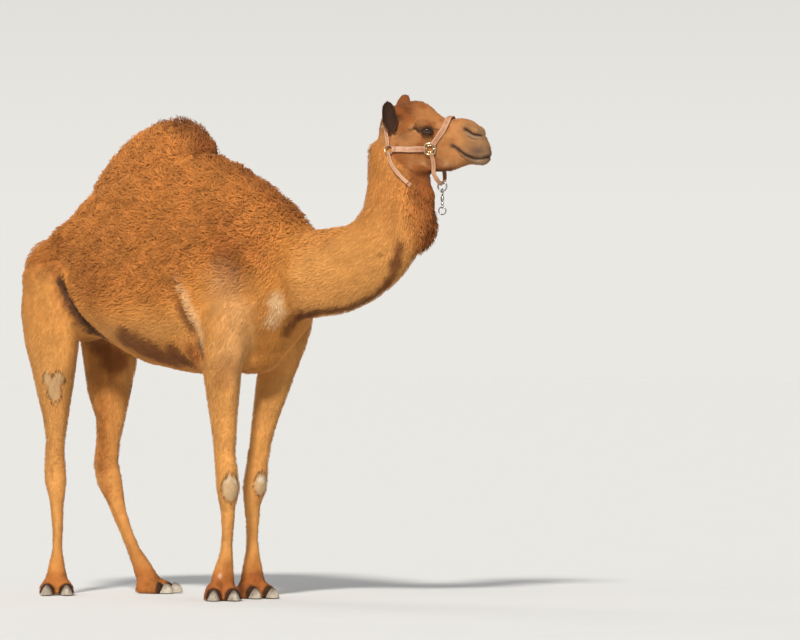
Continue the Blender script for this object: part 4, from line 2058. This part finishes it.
    def snap(self) -> None:
        """The snap hook: a bow, a turned barrel with collars, a thumb stud and a swivel eye."""
        spot = from_head(np.array(CHIN_RING_SPOT))
        fore = HEAD_AXES[0]
        low = 1.6895
        barrel = [(radius / 1000.0, low + up / 1000.0) for radius, up in SNAP_BARREL]
        turned_way = fore + 0.8 * HEAD_AXES[1]
        bow = hoop((spot[0], spot[1], 1.70585), turned_way, 0.0095, 0.0028, 40, 1.5)
        eye = hoop((spot[0], spot[1], low - 0.043), fore, 0.0068, 0.0023, 28)
        surface = together([lathe(spot, barrel), bow, eye])
        piece = make_piece("halter_snap_hook", surface, self.steel)
        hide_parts("snap_hook")

    def buckle(self) -> None:
        """A small buckle and its keeper on the crown band's right side."""
        line, across, out, _ = self.frames("crown_strap")
        parts = []
        turn, roll = circle(40)[:, None], circle(10)[None, :, None]
        for at, half_long, half_wide in ((14, 0.0075, 0.012), (19, 0.0028, 0.0104)):
            ahead = unit(line[at + 1] - line[at - 1])
            wide = power(np.cos(turn), 0.45) * half_wide
            long = power(np.sin(turn), 0.45) * half_long
            path = line[at] + out[at] * 0.003 + across[at] * wide + ahead * long
            away = unit(across[at] * np.cos(turn) + ahead * np.sin(turn))
            rings = away[:, None, :] * np.cos(roll) + out[at] * np.sin(roll)
            parts.append(tube(path[:, None, :] + 0.0015 * rings, True))
        ahead = unit(line[15] - line[13])
        steps = np.linspace(-0.0085, 0.0095, 8)[:, None]
        middle = line[14] + out[14] * (0.0042 - 0.0008 * np.cos(steps * 170.0)) + ahead * steps
        rings = across[14] * np.cos(roll) + out[14] * np.sin(roll)
        parts.append(tube(middle[:, None, :] + 0.0013 * rings))
        piece = make_piece("halter_buckle", together(parts), self.brass)


@dataclass
class Eyes:
    """Both eyeballs, with their corneas, and the lashes on the lids."""

    wet: Material
    lash: Material

    def build(self) -> None:
        """Makes the balls and the lashes."""
        for side, name in ((-1, "right"), (1, "left")):
            self.ball(Lids(side), name)
        self.lashes()

    def ball(self, lids: Lids, name: str) -> None:
        """An eyeball: circles round the line of sight, bulged over the iris.

        The radius is r (1 + 0.035 exp(−(θ / 0.5)²)). The iris attribute is a quarter of the
        distance from the line of sight, in an ellipse 1.25 times as long as high.

        Args:
            lids: The lids round it.
            name: Its side.
        """
        polar, turn = np.linspace(0.02, np.pi - 0.02, 48)[:, None], circle(64)[None, :]
        radius = (EYE_RADIUS - 0.0004) * (1.0 + 0.035 * bell(polar, 0.5))
        places, faces = tube(np.stack([
            radius * np.sin(polar) * np.cos(turn), radius * np.sin(polar) * np.sin(turn),
            radius * np.cos(polar) + 0 * turn,
        ], axis=-1))
        iris = 0.25 * np.hypot(places[:, 0] / 1.25, places[:, 1]) / 0.0046
        iris = np.where(places[:, 2] < 0, 1.0, np.clip(iris, 0.0, 1.0))
        places = lids.centre() + places @ lids.axes()
        surface = (places, outward(places, faces))
        piece = make_piece(f"eyeball_{name}", surface, self.wet, {"iris": iris})
        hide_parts(f"eye_{name}")

    def lashes(self) -> None:
        """Curved lashes: spindles of five rings that leave the lid's edge and droop."""
        parts = []
        rng = np.random.default_rng(5)
        share, turn = np.linspace(0.0, 1.0, 5)[:, None], circle(5)
        round_line = np.stack([np.cos(turn), np.sin(turn), 0 * turn], axis=-1)[None]
        rows = ((44, 1, 0.015, (0.25, -0.75)), (24, -1, 0.008, (-0.35, -0.25)))
        for side in SIDES:
            lids = Lids(side)
            for count, above, reach, (lift, droop) in rows:
                for spot in np.linspace(-0.9, 0.9, count) + rng.normal(0, 0.02, count):
                    fore = spot * lids.half
                    arch = 1.0 - spot * spot
                    up = above * ((lids.rise if above > 0 else lids.fall) * arch + 0.0008)
                    out = math.sqrt(max((EYE_RADIUS + 0.0026) ** 2 - fore**2 - up**2, 1e-6))
                    size = reach * rng.uniform(0.75, 1.15) * (0.55 + 0.45 * arch)
                    line = np.array([fore, up, out]) + size * (
                        share * np.array([0.35 * spot + 0.15, lift, 0.95])
                        + share**2 * np.array([0.1, droop, -0.15])
                    )
                    girth = 0.00042 * (1.0 - 0.85 * share)[:, None, :]
                    places, faces = tube(line[:, None, :] + girth * round_line)
                    parts.append((lids.centre() + places @ lids.axes(), faces))
        surface = together(parts)
        tint = np.tile(DARK.value, (len(surface[0]), 1))
        piece = make_piece("lashes", surface, self.lash, {"tint": tint})


@dataclass
class Nails:
    """The eight nails: blunt wedges of horn at the tips of the toes."""

    horn: Material
    sole: float = 0.0045
    half: float = 0.027
    tall: float = 0.044
    reach: float = 0.05

    def build(self) -> None:
        """Makes each nail."""
        for leg in LEG_NAMES:
            for side, claw in ((-1, "inner"), (1, "outer")):
                piece = make_piece(f"claw_{leg}_{claw}", self.wedge(leg, side), self.horn)
                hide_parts(f"nail_{leg}_{claw}")

    def wedge(self, leg: str, side: int) -> Arrays:
        """A nail's surface.

        At a share t of its length its section is half · s wide and tall · s high, where
        s = √(1 − t²·⁶): a pointed arch 1 − |cos|^1.5 over a nearly flat sole. It droops.

        Args:
            leg: Which leg.
            side: −1 for the right nail of the foot, 1 for the left.

        Returns:
            Vertices and triangles.
        """
        t, roll = np.linspace(0.0, 0.999, 22)[:, None], circle(30)[None, :]
        swell = np.sqrt(1.0 - t**2.6) * (1.0 - 0.1 * t)
        arch = 1.0 - np.abs(np.cos(roll)) ** 1.5
        high = np.where(np.sin(roll) > 0, arch, -0.05 * np.abs(np.sin(roll)))
        rings = 0.0007 * np.sin(62.0 * t) * (1.0 - t)
        up = self.sole + high * (self.tall * swell * (1.0 - 0.14 * t) + rings)
        fore = 0.062 + self.reach * t + 0.3 * (up - self.sole)
        wide = power(np.cos(roll), 0.9) * (self.half * swell + rings)
        across = side * (0.0425 + 0.003 * t) + wide
        local = np.stack([fore + 0 * roll, across, np.maximum(up, 0.0012)], axis=-1)
        x, y, turn = FEET[leg]
        return tube(local @ turned(turn) + (x, y, 0.0))


@dataclass
class Studio:
    """A pale floor, soft lights and the camera."""

    floor: Material
    floor_reach: float = 120.0
    eye: tuple = (21.89, -20.536, 1.1)
    lens: float = 317.25
    tilt: float = math.radians(0.15)

    def build(self) -> None:
        """Makes the floor, the lights, the surrounding light and the camera."""
        mesh = bpy.data.meshes.new("studio_floor")
        far = self.floor_reach
        corners = [(-far, -far, 0.0), (far, -far, 0.0), (far, far, 0.0), (-far, far, 0.0)]
        mesh.from_pydata(corners, [], [(0, 1, 2, 3)])
        mesh.materials.append(self.floor)
        ground = add_object("studio_floor", mesh)
        self.surround()
        self.lamp("key", (0.47, -0.68, 0.56), 3.7, 7.0, (1.0, 0.965, 0.9))
        self.lamp("fill", (-0.1, -0.9, 0.7), 0.25, 40.0, (1.0, 0.98, 0.95))
        self.lamp("rim", (-0.8, 0.1, 0.75), 0.55, 30.0, (1.0, 0.97, 0.92))
        camera = bpy.data.cameras.new("camera")
        camera.lens, camera.sensor_width, camera.clip_end = self.lens, 36.0, 400.0
        holder = add_object("camera", camera)
        holder.location = Vector(np.array(self.eye) + OFFSET)
        holder.rotation_euler = (math.pi / 2 + self.tilt, 0.0, math.radians(45.0))
        bpy.context.scene.camera = holder
        bpy.context.scene.view_settings.view_transform = "Standard"

    def surround(self) -> None:
        """Light from all round: bright low down, falling off above, by the direction's height."""
        world = bpy.data.worlds.new("studio")
        world.use_nodes = True
        wires = Wiring(world.node_tree)
        way = wires.add("TexCoord").outputs["Generated"]
        height = wires.add("SeparateXYZ", in0=way).outputs["Z"]
        shade = wires.add("ValToRGB", Fac=height)
        set_stops(shade.color_ramp, (
            (0.02, (0.823, 0.806, 0.768)), (0.9, (0.22, 0.23, 0.25)), (0.22, (0.38, 0.38, 0.38))))
        wires.feed(world.node_tree.nodes["Background"], Color=shade.outputs["Color"])
        bpy.context.scene.world = world

    def lamp(self, name: str, way: tuple, strength: float, spread: float, colour: tuple) -> None:
        """A broad far light.

        Args:
            name: Its name.
            way: From the animal to the light.
            strength: In watts to the square metre of a face turned to it.
            spread: How many degrees across it is.
            colour: Its colour.
        """
        light = bpy.data.lights.new(name, "SUN")
        light.energy, light.color, light.angle = strength, colour, math.radians(spread)
        holder = add_object(name, light)
        holder.rotation_euler = Vector(way).to_track_quat("Z", "Y").to_euler()


def main() -> None:
    """Builds the animal, its halter and the studio."""
    logging.basicConfig(level=logging.INFO, format="%(name)s %(message)s")
    effects = Effects()
    hide = HairFinish("camel_hide", 0.82, 700.0, 0.14, 0.001, 0.03).mix(effects)
    hair = HairFinish("camel_hair", 0.7, 240.0, 0.08, 0.0003, 0.03).mix(effects)
    leather = LeatherFinish().mix(effects)
    thread = PlainFinish("waxed_thread", (0.62, 0.5, 0.36, 1.0), 0.7, 900.0, 0.2).mix(effects)
    steel, brass = (MetalFinish(*make).mix(effects) for make in (
        ("nickel_plate", (0.44, 0.43, 0.41, 1.0), (0.2, 0.18, 0.15, 1.0)),
        ("aged_brass", (0.56, 0.45, 0.29, 1.0), (0.22, 0.15, 0.09, 1.0))))
    wet = EyeFinish().mix(effects)
    horn = HornFinish().mix(effects)
    floor = PlainFinish("studio_floor", (0.752, 0.752, 0.742, 1.0), 0.85, 3.0, 0.02).mix(effects)

    skin = Skin().grow()
    tint = shade_of(skin.places, skin.shares)
    piece = make_piece("hide", (skin.places, skin.faces), hide, {"tint": tint * 0.88})
    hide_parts(*FLESH_NODES, "ear_left", "ear_right")
    halter = Halter(leather, thread, steel, brass, skin).lay()
    halter.build()
    Fleece(skin, hair, halter.clearings(), share=1.0).grow()
    Eyes(wet, hair).build()
    Nails(horn).build()
    Studio(floor).build()


if __name__ == "__main__":
    main()
